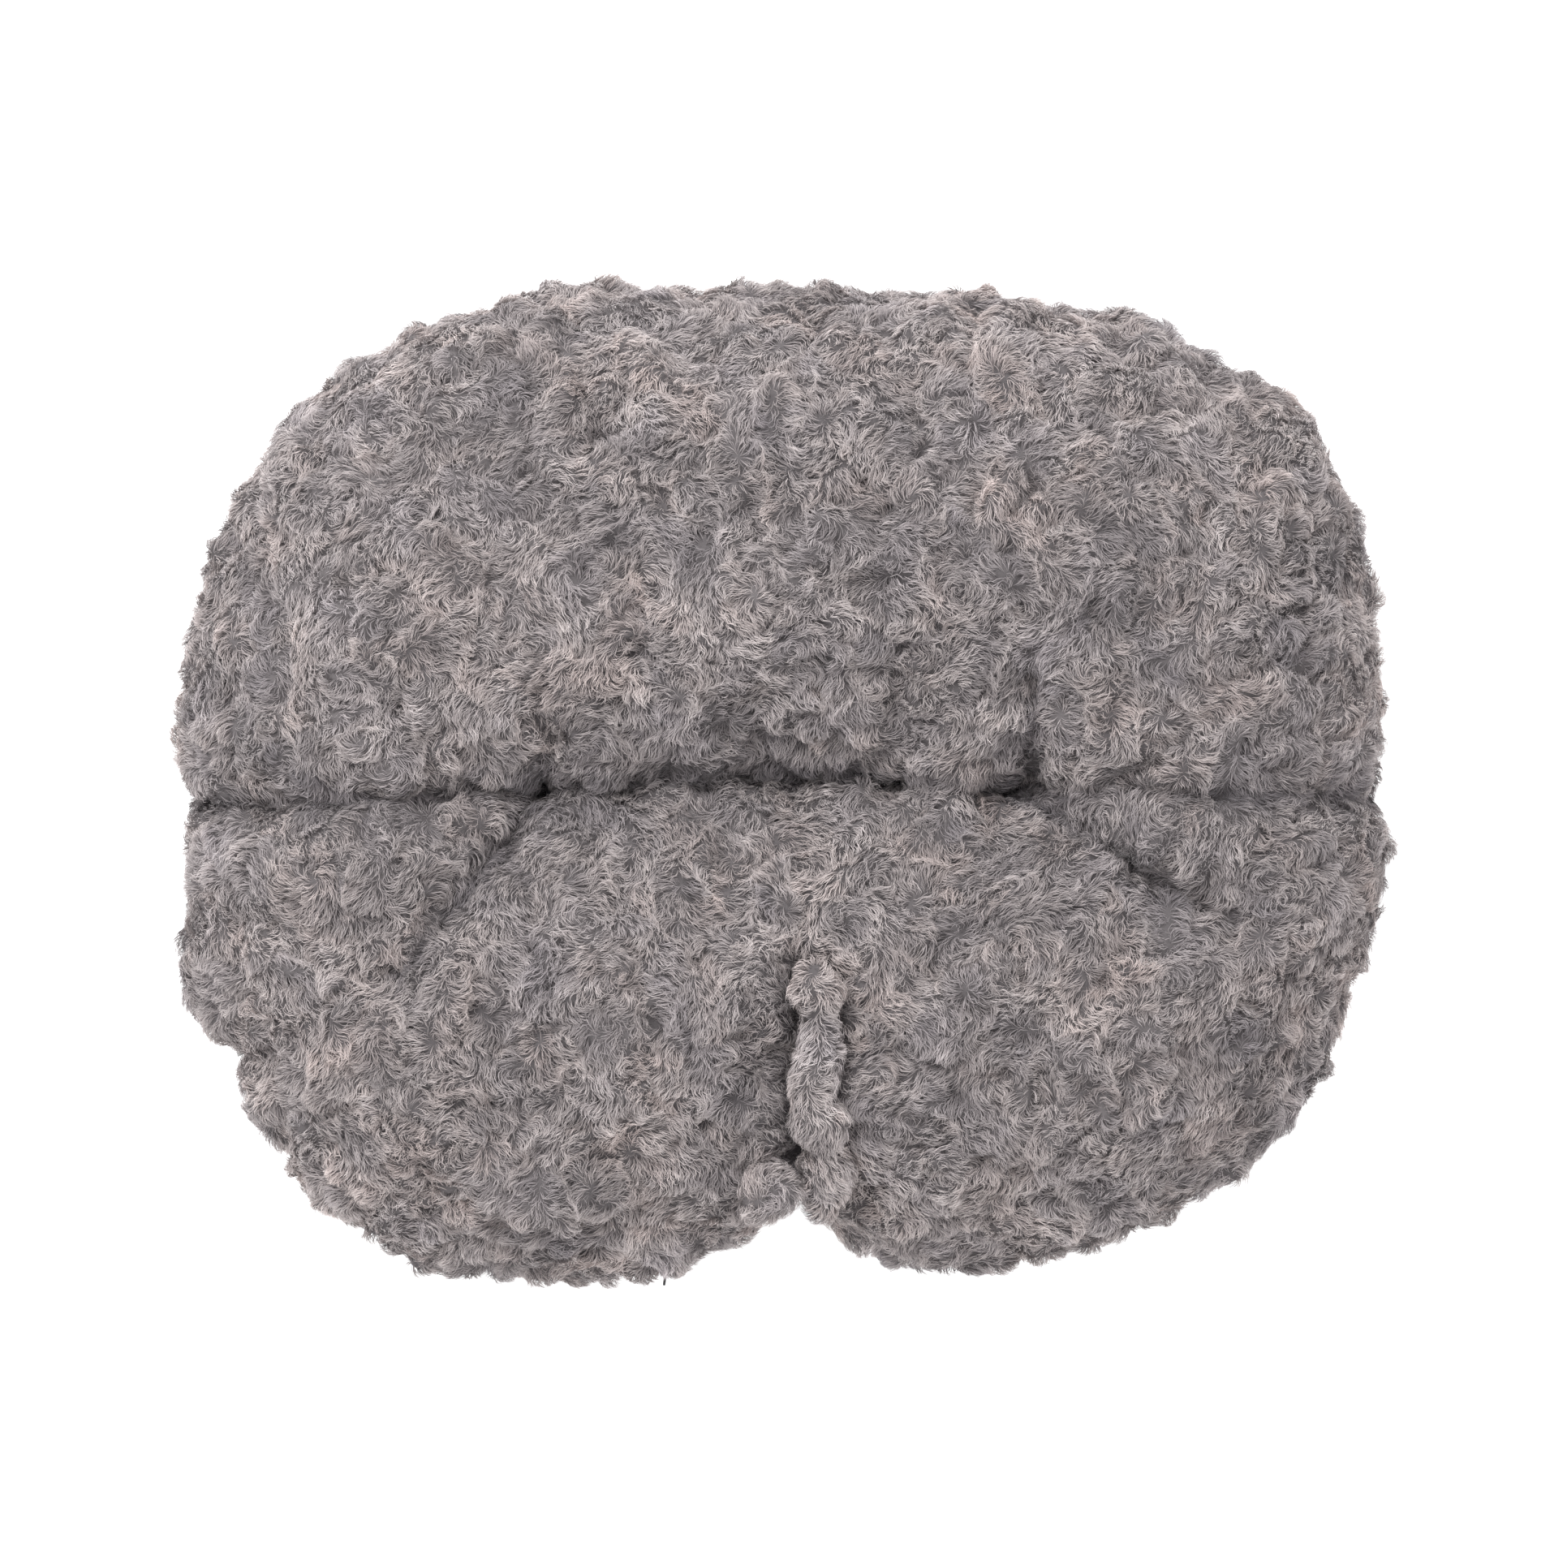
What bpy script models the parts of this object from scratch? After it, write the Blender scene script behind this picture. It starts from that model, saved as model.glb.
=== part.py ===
"""Plush bolster bed for a small pet.

A fat oval bolster ring is bent so tightly that its hole has closed to a slit. Its plush cover is
three sewn panels: one round the back and two at the front, which meet in a pinched closing seam
over a notch. Inside are the fibre fill and a thin floor pad, and a grip base closes it underneath.

Metres, +X to the bed's right, +Y to its back, +Z up. The origin is the middle of the underside.
Angles run round the ring: 0 is the right end, 90 the back, 180 the left end and 270 the front.
"""
import math

import bmesh
import bpy
import numpy as np

# Overall size, over the pile
LENGTH = 0.610
WIDTH = 0.510
HEIGHT = 0.170

# How square each quarter of the outline is: 2 is an ellipse, more is squarer
REAR_RIGHT_SQUARENESS = 3.1
REAR_LEFT_SQUARENESS = 2.7
FRONT_LEFT_SQUARENESS = 2.9
FRONT_RIGHT_SQUARENESS = 2.5

# Back edge: it reaches less far from a little left of the middle on
REAR_SHORTFALL = 0.008
REAR_SHORTFALL_START = -0.050
REAR_SHORTFALL_RUN = 0.030

# Front edge: the right lobe reaches less far, the edge dips between the lobes, and a notch cuts
# it below the closing seam
RIGHT_LOBE_SHORTFALL = 0.010
LOBE_DIP_DEPTH = 0.028
LOBE_DIP_LEFT_WIDTH = 0.095
LOBE_DIP_RIGHT_WIDTH = 0.075
NOTCH_DEPTH = 0.019
NOTCH_LEFT_WIDTH = 0.012
NOTCH_RIGHT_WIDTH = 0.022

# Mouth of the sleeping hollow, a slit between the two lips of the ring
MOUTH_LENGTH = 0.236
MOUTH_GAP = 0.016
MOUTH_ARCH = 0.009
MOUTH_Y = -0.003

# Bolster section: parts of the reach from the lip to the outline, and of the crest's height
FLOOR_SEAM_REACH = 0.20
UNDER_LIP = (0.05, 0.36)
LIP = (0.0, 0.60)
INNER_SHOULDER = (0.11, 0.88)
CREST = (0.43, 1.0)
OUTER_SHOULDER = (0.78, 0.86)
WIDEST = (1.0, 0.46)
BASE_EDGE_REACH = 0.87
FRONT_CREST_DROP = 0.016
END_CREST_DROP = 0.012

# Layers, from the floor up
BASE_THICKNESS = 0.0020
BINDING_HEIGHT = 0.0062
PAD_THICKNESS = 0.020
FLOOR_PANEL_THICKNESS = 0.0015
PLUSH_THICKNESS = 0.008
CLEARANCE = 0.0003
FILL_CLEARANCE = 0.0010

# Seams and creases that pinch the ring: angle in degrees, depth, width, where it starts and how
# sharply, as a part of the reach, and the share of its depth that is left at the outline
FRONT_SEAM_ANGLE = 274.0
LEFT_SEAM_ANGLE = 181.0
RIGHT_SEAM_ANGLE = 359.0
CREASES = (
    (FRONT_SEAM_ANGLE, 0.013, 0.017, 0.30, 0.16, 0.35),
    (LEFT_SEAM_ANGLE, 0.015, 0.014, 0.00, 0.05, 0.30),
    (RIGHT_SEAM_ANGLE, 0.008, 0.014, 0.00, 0.05, 0.40),
    (207.0, 0.011, 0.015, 0.00, 0.05, 1.00),
    (339.0, 0.010, 0.015, 0.00, 0.05, 0.40),
)
OUTLINE_FADE_START = 0.78

# Closing seam: the roll that runs down the front bolster, and its foot to the left. Both stand
# off the middle of the groove, to clear its flanks
ROLL_RADIUS = 0.009
ROLL_START_REACH = 0.36
ROLL_END_REACH = 0.90
FOOT_RADIUS = 0.007
FOOT_LENGTH = 0.025
FOOT_REACH = 0.84
SEAM_STANDOFF = 0.0045
ROLL_END_TAPER = (0.45, 0.85)
FOOT_END_TAPER = (0.50, 0.90)

# Folded care label, in the base seam at the back
LABEL_ANGLE = 118.0
LABEL_WIDTH = 0.032
LABEL_LENGTH = 0.012
LABEL_THICKNESS = 0.0010
LABEL_BOTTOM = 0.0025

# Cut stub of a plastic tag fastener, in the front edge left of the notch
STUB_ANGLE = 257.0
STUB_RADIUS = 0.0007
STUB_LENGTH = 0.008
STUB_DROOP = 0.003

# Mesh density
REAR_STEPS = 38
FRONT_LEFT_STEPS = 24
FRONT_RIGHT_STEPS = 22
STEPS_PER_SPAN = 2
TUBE_SIDES = 12

PAD_BOTTOM = BASE_THICKNESS + CLEARANCE
PAD_TOP = PAD_BOTTOM + PAD_THICKNESS
FLOOR_PANEL_TOP = PAD_TOP + CLEARANCE + FLOOR_PANEL_THICKNESS
COVER_INNER_EDGE = FLOOR_PANEL_TOP + CLEARANCE
COVER_OUTER_EDGE = BINDING_HEIGHT + CLEARANCE


def raw_outline(angle):
    """Superellipse of the overall size, squarer in some quarters, less the dips in its front."""
    c, s = np.cos(angle), np.sin(angle)
    rear = np.where(c >= 0, REAR_RIGHT_SQUARENESS, REAR_LEFT_SQUARENESS)
    front = np.where(c >= 0, FRONT_RIGHT_SQUARENESS, FRONT_LEFT_SQUARENESS)
    n = np.where(s >= 0, rear, front)
    radius = (np.abs(2 * c / LENGTH) ** n + np.abs(2 * s / WIDTH) ** n) ** (-1 / n)
    x, y = radius * c, radius * s
    notch_width = np.where(x < 0, NOTCH_LEFT_WIDTH, NOTCH_RIGHT_WIDTH)
    notch = NOTCH_DEPTH * np.exp(-np.abs(x / notch_width) ** 1.5)
    dip_width = np.where(x < 0, LOBE_DIP_LEFT_WIDTH, LOBE_DIP_RIGHT_WIDTH)
    dip = LOBE_DIP_DEPTH * np.exp(-((x / dip_width) ** 2))
    front_short = RIGHT_LOBE_SHORTFALL * (1 + np.tanh(x / dip_width)) / 2
    rear_run = (x - REAR_SHORTFALL_START) / REAR_SHORTFALL_RUN
    rear_short = REAR_SHORTFALL * (1 + np.tanh(rear_run)) / 2
    inset = np.where(s < 0, notch + dip - front_short * s, -rear_short * s)
    return np.stack([x, y + inset], -1)


def outline(angle):
    """Plan outline of the ring, fitted to the overall length and width."""
    whole = raw_outline(np.linspace(0, 2 * math.pi, 1441))
    low, high = whole.min(0), whole.max(0)
    size = np.array([LENGTH, WIDTH])
    return (raw_outline(angle) - (low + high) / 2) * size / (high - low)


def mouth_middle(x):
    """The slit's middle line, which arches towards the back."""
    return MOUTH_Y + MOUTH_ARCH * (1 - (2 * x / MOUTH_LENGTH) ** 2)


def lip(angle):
    """Plan line of the ring's lip, a thin ellipse round the arched slit."""
    x = MOUTH_LENGTH / 2 * np.cos(angle)
    return np.stack([x, mouth_middle(x) + MOUTH_GAP / 2 * np.sin(angle)], -1)


def ring_reach(angle):
    """Plan distance from the lip to the outline."""
    return float(np.linalg.norm(outline(angle) - lip(angle)))


def crest_height(angle):
    """The back of the ring is the highest, and its front and both ends lie lower."""
    front = np.clip(-np.sin(angle), 0, 1) ** 2
    end = np.cos(angle) ** 4
    return HEIGHT - FRONT_CREST_DROP * front - END_CREST_DROP * end


def spans(controls):
    """Catmull-Rom curve through the control points, with an equal number of steps in each span."""
    ends = [2 * controls[0] - controls[1], 2 * controls[-1] - controls[-2]]
    p = np.array([ends[0], *controls, ends[1]])
    points = []
    for i in range(1, len(p) - 2):
        for t in np.arange(STEPS_PER_SPAN) / STEPS_PER_SPAN:
            a, b, c, d = p[i - 1], p[i], p[i + 1], p[i + 2]
            cubic = (3 * b - a - 3 * c + d) * t**3
            points.append((2 * b + (c - a) * t + (2 * a - 5 * b + 4 * c - d) * t**2 + cubic) / 2)
    return np.array([*points, p[-2]])


def base_section(reach, crest):
    """The bolster's unpinched section, as (distance out from the lip, height), floor seam first."""
    shaped = (UNDER_LIP, LIP, INNER_SHOULDER, CREST, OUTER_SHOULDER, WIDEST)
    controls = [np.array([out * reach, up * crest]) for out, up in shaped]
    floor_seam = np.array([FLOOR_SEAM_REACH * reach, COVER_INNER_EDGE])
    base_edge = np.array([BASE_EDGE_REACH * reach, COVER_OUTER_EDGE])
    return spans([floor_seam, *controls, base_edge])


def inward_normals(section):
    """Unit vectors into the bolster, at right angles to its section."""
    along = np.gradient(section, axis=0)
    along /= np.linalg.norm(along, axis=1, keepdims=True)
    return np.stack([along[:, 1], -along[:, 0]], -1)


def pinch(angle, section, reach):
    """How far the seams and creases draw the cover in, none at its two sewn edges."""
    part = section[:, 0] / reach
    spread = (1 - part) * MOUTH_LENGTH / 2 + part * (LENGTH + WIDTH) / 4
    total = np.zeros(len(section))
    towards_outline = np.clip((part - OUTLINE_FADE_START) / (1 - OUTLINE_FADE_START), 0, 1)
    for degrees, depth, width, start, ramp, outline_share in CREASES:
        aside = math.remainder(angle - math.radians(degrees), 2 * math.pi) * spread
        begun = np.clip((part - start) / ramp, 0, 1)
        begun *= 1 - (1 - outline_share) * towards_outline
        total = np.maximum(total, depth * begun * np.exp(-((aside / width) ** 2)))
    edge = np.minimum(np.arange(len(section)), np.arange(len(section))[::-1])
    return total * np.clip(edge / STEPS_PER_SPAN, 0, 1)


def section_at(angle, inset):
    """The pinched section, moved into the bolster by inset and kept square at its sewn edges."""
    reach = ring_reach(angle)
    section = base_section(reach, float(crest_height(angle)))
    drawn_in = (pinch(angle, section, reach) + inset)[:, None]
    moved = section + drawn_in * inward_normals(section)
    moved[0] = section[0] + [inset, 0]
    moved[-1] = section[-1] - [inset, 0]
    return moved


def in_space(angle, section, aside=0.0):
    """Section points in space, with the whole section moved aside round the ring."""
    start = lip(angle)
    out = outline(angle) - start
    out /= np.linalg.norm(out)
    start = start + aside * np.array([-out[1], out[0]])
    plan = start + section[:, :1] * out
    return np.concatenate([plan, section[:, 1:]], 1)


def panel_angles(start, end, steps, crowd):
    """Angles of a panel's sections. With crowd over 0 they lie closer together at its end."""
    t = np.linspace(0, 1, steps + 1)
    t = (1 - crowd) * t + crowd * (1 - (1 - t) ** 2)
    return np.radians(start + (end - start) * t)


REAR_ANGLES = panel_angles(RIGHT_SEAM_ANGLE - 360, LEFT_SEAM_ANGLE, REAR_STEPS, 0.0)
FRONT_LEFT_ANGLES = panel_angles(LEFT_SEAM_ANGLE, FRONT_SEAM_ANGLE, FRONT_LEFT_STEPS, 0.6)
FRONT_RIGHT_ANGLES = panel_angles(
    RIGHT_SEAM_ANGLE, FRONT_SEAM_ANGLE, FRONT_RIGHT_STEPS, 0.6
)[::-1]


def sections(angles, inset):
    """Grid of points, one row for each angle, whose end rows keep the clearance of a seam."""
    rows = []
    for i, angle in enumerate(angles):
        aside = {0: CLEARANCE / 2, len(angles) - 1: -CLEARANCE / 2}.get(i, 0.0)
        rows.append(in_space(angle, section_at(angle, inset), aside))
    return np.array(rows)


def add_object(name, points, faces, material, sharp_angle=60.0):
    """Mesh object from points and faces, with its faces out and its shading smooth but for edges."""
    mesh = bpy.data.meshes.new(name)
    mesh.from_pydata([tuple(map(float, p)) for p in points], [], faces)
    work = bmesh.new()
    work.from_mesh(mesh)
    bmesh.ops.recalc_face_normals(work, faces=work.faces)
    work.to_mesh(mesh)
    work.free()
    mesh.shade_smooth()
    mesh.set_sharp_from_angle(angle=math.radians(sharp_angle))
    mesh.materials.append(material)
    piece = bpy.data.objects.new(name, mesh)
    bpy.context.scene.collection.objects.link(piece)
    return piece


def cell_faces(a, b, c, d):
    """A grid cell's two triangles. Nested pieces split alike, so that they keep their clearance."""
    return [(a, b, c), (a, c, d)]


def add_slab(name, outer, inner, material):
    """Closed shell between two grids of the same size, walled along all four edges."""
    rows, columns = outer.shape[:2]
    points = np.concatenate([outer.reshape(-1, 3), inner.reshape(-1, 3)])
    below = rows * columns
    faces = []
    for i in range(rows - 1):
        for j in range(columns - 1):
            a = i * columns + j
            for face in cell_faces(a, a + 1, a + columns + 1, a + columns):
                faces.append(face)
                faces.append(tuple(below + k for k in reversed(face)))
    rim = list(range(columns))
    rim += [i * columns + columns - 1 for i in range(1, rows)]
    rim += [(rows - 1) * columns + j for j in range(columns - 2, -1, -1)]
    rim += [i * columns for i in range(rows - 2, 0, -1)]
    for a, b in zip(rim, rim[1:] + rim[:1]):
        faces.append((a, b, below + b, below + a))
    return add_object(name, points, faces, material)


def add_loft(name, rings, material, closed=False):
    """Solid through a row of rings, either closed on itself or with a cap at each end."""
    count, sides = rings.shape[:2]
    faces = []
    for i in range(count if closed else count - 1):
        for j in range(sides):
            a, b = i * sides + j, i * sides + (j + 1) % sides
            after = (i + 1) % count * sides - i * sides
            faces += cell_faces(a, b, b + after, a + after)
    if not closed:
        faces.append(tuple(range(sides)))
        faces.append(tuple(range((count - 1) * sides, count * sides)))
    return add_object(name, rings.reshape(-1, 3), faces, material)


def add_plate(name, contour, bottom, top, material):
    """Flat plate of a plan contour."""
    count = len(contour)
    lower = np.column_stack([contour, np.full(count, bottom)])
    upper = np.column_stack([contour, np.full(count, top)])
    return add_loft(name, np.array([lower, upper]), material)


def tube_rings(path, radius, end_taper):
    """Round rings along a path. Each end's first rings are drawn in by the factors in end_taper."""
    along = np.gradient(path, axis=0)
    along /= np.linalg.norm(along, axis=1, keepdims=True)
    turn = np.linspace(0, 2 * math.pi, TUBE_SIDES, endpoint=False)
    place = np.arange(len(path))
    from_end = np.minimum(place, place[::-1])
    factors = np.array([*end_taper, 1.0])
    radii = radius * factors[np.minimum(from_end, len(end_taper))]
    rings = []
    for centre, forward, r in zip(path, along, radii):
        side = np.cross(forward, [0, 0, 1])
        side /= np.linalg.norm(side)
        up = np.cross(side, forward)
        rings.append(centre + r * (np.cos(turn)[:, None] * side + np.sin(turn)[:, None] * up))
    return np.array(rings)


def plain_material(name, colour, roughness):
    """Non-metallic Principled material of one colour."""
    material = bpy.data.materials.new(name)
    material.use_nodes = True
    shader = material.node_tree.nodes["Principled BSDF"]
    shader.inputs["Base Color"].default_value = (*colour, 1.0)
    shader.inputs["Roughness"].default_value = roughness
    shader.inputs["Metallic"].default_value = 0.0
    return material


def all_angles():
    """Every section angle once round the ring, in order."""
    return np.concatenate([REAR_ANGLES[:-1], FRONT_LEFT_ANGLES[:-1], FRONT_RIGHT_ANGLES[:-1]])


def ring_contour(distance_of):
    """Closed plan contour at a distance from the lip that depends on the reach."""
    points = []
    for angle in all_angles():
        reach = ring_reach(angle)
        section = np.array([[distance_of(reach), 0.0]])
        points.append(in_space(angle, section)[0, :2])
    return np.array(points)


def add_covers(plush):
    """Three plush panels, each a shell from the floor seam over the crest to the base edge."""
    for name, angles in (
        ("rear_bolster_cover", REAR_ANGLES),
        ("front_left_bolster_cover", FRONT_LEFT_ANGLES),
        ("front_right_bolster_cover", FRONT_RIGHT_ANGLES),
    ):
        outer = sections(angles, 0.0)
        inner = sections(angles, PLUSH_THICKNESS)
        add_slab(name, outer, inner, plush)


def add_bolster_fill(fibre):
    """Fibre fill of the whole ring, one C whose two ends meet at the closing seam."""
    angles = np.concatenate([FRONT_RIGHT_ANGLES, REAR_ANGLES[1:], FRONT_LEFT_ANGLES[1:]])
    rings = []
    for i, angle in enumerate(angles):
        aside = {0: CLEARANCE, len(angles) - 1: -CLEARANCE}.get(i, 0.0)
        section = section_at(angle, PLUSH_THICKNESS + FILL_CLEARANCE)
        feet = [[section[-1, 0], PAD_BOTTOM], [section[0, 0], PAD_BOTTOM]]
        rings.append(in_space(angle, np.concatenate([section, feet]), aside))
    add_loft("bolster_fill", np.array(rings), fibre)


def add_floor(floor_fabric, fibre):
    """Thin floor pad and the fabric over it, whose rim the cover's inner edge is sewn to."""
    rim = ring_contour(lambda reach: FLOOR_SEAM_REACH * reach + PLUSH_THICKNESS)
    add_plate("floor_pad_fill", rim, PAD_BOTTOM, PAD_TOP, fibre)
    add_plate("floor_panel", rim, PAD_TOP + CLEARANCE, FLOOR_PANEL_TOP, floor_fabric)


def add_base(base_fabric, tape):
    """Base fabric, and the binding that joins its rim to the cover's outer edge."""
    edge = ring_contour(lambda reach: BASE_EDGE_REACH * reach - PLUSH_THICKNESS - CLEARANCE)
    add_plate("base_panel", edge, 0.0, BASE_THICKNESS, base_fabric)
    rings = []
    for angle in all_angles():
        reach = ring_reach(angle)
        out = BASE_EDGE_REACH * reach
        square = [
            [out - PLUSH_THICKNESS, 0.0],
            [out, 0.0],
            [out, BINDING_HEIGHT],
            [out - PLUSH_THICKNESS, BINDING_HEIGHT],
        ]
        rings.append(in_space(angle, np.array(square)))
    add_loft("base_binding", np.array(rings), tape, closed=True)


def base_rim(angle):
    """Plan point on the base seam's outer edge."""
    return in_space(angle, np.array([[BASE_EDGE_REACH * ring_reach(angle), 0.0]]))[0, :2]


def add_label(satin):
    """Blank care label, folded double and sewn into the base seam, below the ring's overhang."""
    middle_angle = math.radians(LABEL_ANGLE)
    middle = base_rim(middle_angle)
    half_span = LABEL_WIDTH / 2 / float(np.linalg.norm(middle))
    span = np.linspace(middle_angle - half_span, middle_angle + half_span, 9)
    rim = np.array([base_rim(angle) for angle in span])
    along = (rim[-1] - rim[0]) / np.linalg.norm(rim[-1] - rim[0])
    out = np.array([along[1], -along[0]])
    bulge = float(np.max((rim - middle) @ out))
    inner = middle + (bulge + 2 * CLEARANCE) * out
    half = LABEL_WIDTH / 2 * along
    edge = LABEL_LENGTH * out
    contour = np.array([inner - half, inner + half, inner + half + edge, inner - half + edge])
    add_plate("care_label", contour, LABEL_BOTTOM, LABEL_BOTTOM + LABEL_THICKNESS, satin)


def lifted(angle, reach_part, lift):
    """A point lifted off the ring's upper side, between its inner shoulder and its widest place."""
    section = section_at(angle, 0.0)
    reach = ring_reach(angle)
    crest = int(np.argmax(section[:, 1]))
    first = int(np.argmin(np.abs(section[:crest, 0] - INNER_SHOULDER[0] * reach)))
    last = int(np.argmax(section[:, 0])) + 1
    part = section[first:last, 0] / reach
    normals = -inward_normals(section)[first:last]
    height = np.interp(reach_part, part, section[first:last, 1])
    normal = np.array([np.interp(reach_part, part, normals[:, k]) for k in (0, 1)])
    normal /= np.linalg.norm(normal)
    place = np.array([reach_part * reach, height]) + lift * normal
    return in_space(angle, place[None, :])[0]


def add_closing_seam(plush):
    """Roll of plush down the closing seam, and the foot that turns left over the notch."""
    seam = math.radians(FRONT_SEAM_ANGLE)
    lift = ROLL_RADIUS + SEAM_STANDOFF
    parts = np.linspace(ROLL_START_REACH, ROLL_END_REACH, 15)
    path = np.array([lifted(seam, part, lift) for part in parts])
    add_loft("front_seam_roll", tube_rings(path, ROLL_RADIUS, ROLL_END_TAPER), plush)

    spread = float(np.linalg.norm(outline(seam)))
    first = seam - (ROLL_RADIUS + 1.2 * FOOT_RADIUS) / spread
    angles = np.linspace(first, first - FOOT_LENGTH / spread, 9)
    lift = FOOT_RADIUS + SEAM_STANDOFF
    path = np.array([lifted(angle, FOOT_REACH, lift) for angle in angles])
    add_loft("front_seam_foot", tube_rings(path, FOOT_RADIUS, FOOT_END_TAPER), plush)


def add_stub(nylon):
    """Cut nylon stub of a tag fastener, standing out of the front edge with a slight droop."""
    angle = math.radians(STUB_ANGLE)
    section = section_at(angle, 0.0)
    widest = int(np.argmax(section[:, 0]))
    root = section[widest] + [2 * CLEARANCE + STUB_RADIUS, 0]
    t = np.linspace(0, 1, 6)[:, None]
    path = root + t * [STUB_LENGTH, 0] + t**2 * [0, -STUB_DROOP]
    path = in_space(angle, path)
    add_loft("tag_fastener_stub", tube_rings(path, STUB_RADIUS, ()), nylon)


def main():
    for old in list(bpy.data.objects):
        bpy.data.objects.remove(old, do_unlink=True)
    plush = plain_material("plush", (0.27, 0.25, 0.245), 0.95)
    fibre = plain_material("fibre_fill", (0.80, 0.80, 0.78), 0.95)
    add_covers(plush)
    add_bolster_fill(fibre)
    add_floor(plain_material("floor_fabric", (0.12, 0.115, 0.115), 0.9), fibre)
    add_base(
        plain_material("base_fabric", (0.10, 0.10, 0.105), 0.85),
        plain_material("binding_tape", (0.08, 0.08, 0.085), 0.8),
    )
    add_label(plain_material("label_satin", (0.75, 0.75, 0.74), 0.6))
    add_closing_seam(plush)
    add_stub(plain_material("black_nylon", (0.01, 0.01, 0.01), 0.35))


main()
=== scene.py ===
"""Looks of the plush bolster bed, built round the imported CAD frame.

The stuffed ring is inflated by a cloth simulation and cut into its three sewn panels. Each panel
then grows a coat of tousled pile, strand by strand. The closing seam's roll and foot, the fill,
the floor, the grip base, its binding and the label follow, and last the studio and the camera.

Metres, +X to the bed's right, +Y to its back, +Z up, as in the CAD.
"""
import math

import bmesh
import bpy
import numpy as np
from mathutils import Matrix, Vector
from mathutils.kdtree import KDTree


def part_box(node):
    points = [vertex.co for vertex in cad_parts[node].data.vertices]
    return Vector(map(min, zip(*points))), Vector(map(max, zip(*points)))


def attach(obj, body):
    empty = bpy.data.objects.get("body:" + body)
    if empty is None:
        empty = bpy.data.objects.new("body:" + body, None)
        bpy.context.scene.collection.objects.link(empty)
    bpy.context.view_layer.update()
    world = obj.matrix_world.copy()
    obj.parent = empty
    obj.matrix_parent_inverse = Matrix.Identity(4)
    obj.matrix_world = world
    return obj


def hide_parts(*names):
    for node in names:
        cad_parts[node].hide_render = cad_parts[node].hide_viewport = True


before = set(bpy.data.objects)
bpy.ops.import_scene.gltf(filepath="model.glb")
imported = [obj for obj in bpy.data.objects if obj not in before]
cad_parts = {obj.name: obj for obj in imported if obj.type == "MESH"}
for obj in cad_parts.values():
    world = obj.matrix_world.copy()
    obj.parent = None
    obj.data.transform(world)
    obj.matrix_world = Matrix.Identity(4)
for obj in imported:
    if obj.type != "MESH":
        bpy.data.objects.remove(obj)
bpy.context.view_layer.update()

# Stuffed ring
VOXEL = 0.006
PRESSURE = 4.0
SIMULATED_FRAMES = 20
SWELL_CAP = 0.005
PINNED_HEIGHT = 0.007
PINNED_SEAM_WIDTH = 0.006
GROUND_OFFSET = 0.0056
FOLD_SMOOTHING = 2
LUMP_SMOOTHING = 1
SLOPE_FADE = 1.5
CREASE_CLEARS_FLOOR = 0.020
LUMPS_CLEAR_FLOOR = 0.004
FLOOR_FADE = 0.030
LUMP_FADE = 0.020
CREASE_LUMP_LOSS = 0.7
SURFACE_LUMPS = ((0.085, 0.0020), (0.034, 0.0015), (0.015, 0.0020))

# Creases of the stuffed ring in plan: path, depth and width. Its seams are the first three
CLOSING_SEAM = ((0.013, -0.095), (0.016, -0.150), (0.008, -0.260))
CREASES = (
    (CLOSING_SEAM, 0.008, 0.012),
    (((-0.116, -0.002), (-0.200, -0.012), (-0.330, -0.012)), 0.003, 0.008),
    (((0.116, -0.003), (0.200, -0.006), (0.330, -0.010)), 0.002, 0.008),
    (((-0.119, -0.001), (-0.151, -0.051), (-0.185, -0.095)), 0.0055, 0.010),
    (((0.115, -0.005), (0.177, -0.044), (0.219, -0.068)), 0.0060, 0.008),
    (((0.163, 0.004), (0.180, 0.010), (0.193, 0.021)), 0.005, 0.007),
    (((0.122, 0.046), (0.121, 0.007)), 0.006, 0.008),
    (((-0.090, 0.162), (-0.086, 0.166)), 0.006, 0.012),
)

# Fuller places of the outline in plan, and a dent in its wall: middle, size and height or depth
OUTLINE_SWELLS = (
    ((0.100, 0.240), (0.080, 0.040), 0.0045),
    ((-0.200, 0.205), (0.060, 0.050), 0.0035),
    ((0.240, 0.160), (0.050, 0.050), 0.0035),
    ((-0.300, 0.050), (0.030, 0.080), 0.0025),
    ((-0.305, -0.025), (0.030, 0.030), 0.0035),
    ((0.155, 0.235), (0.035, 0.030), 0.0040),
    ((-0.165, 0.240), (0.035, 0.030), 0.0040),
)
WALL_DENT = (-0.283, -0.135, 0.080)
WALL_DENT_SIZE = (0.030, 0.013, 0.060)
WALL_DENT_DEPTH = 0.014

# Slit and side seams in plan
SLIT_END = 0.118
SLIT_ARCH = 0.009
SLIT_Y = -0.003
SIDE_SEAM_SLOPE = 0.050

# Lips of the slit: how far each swells towards it, over which distance from it, above which height
REAR_LIP_SWELL = 0.0150
FRONT_LIP_SWELL = 0.0080
LIP_STANDOFF = 0.017
LIP_SPREAD = 0.020
LIP_FOOT = 0.050
LIP_RISE = 0.030
LIP_END_FADE = 0.030

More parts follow.
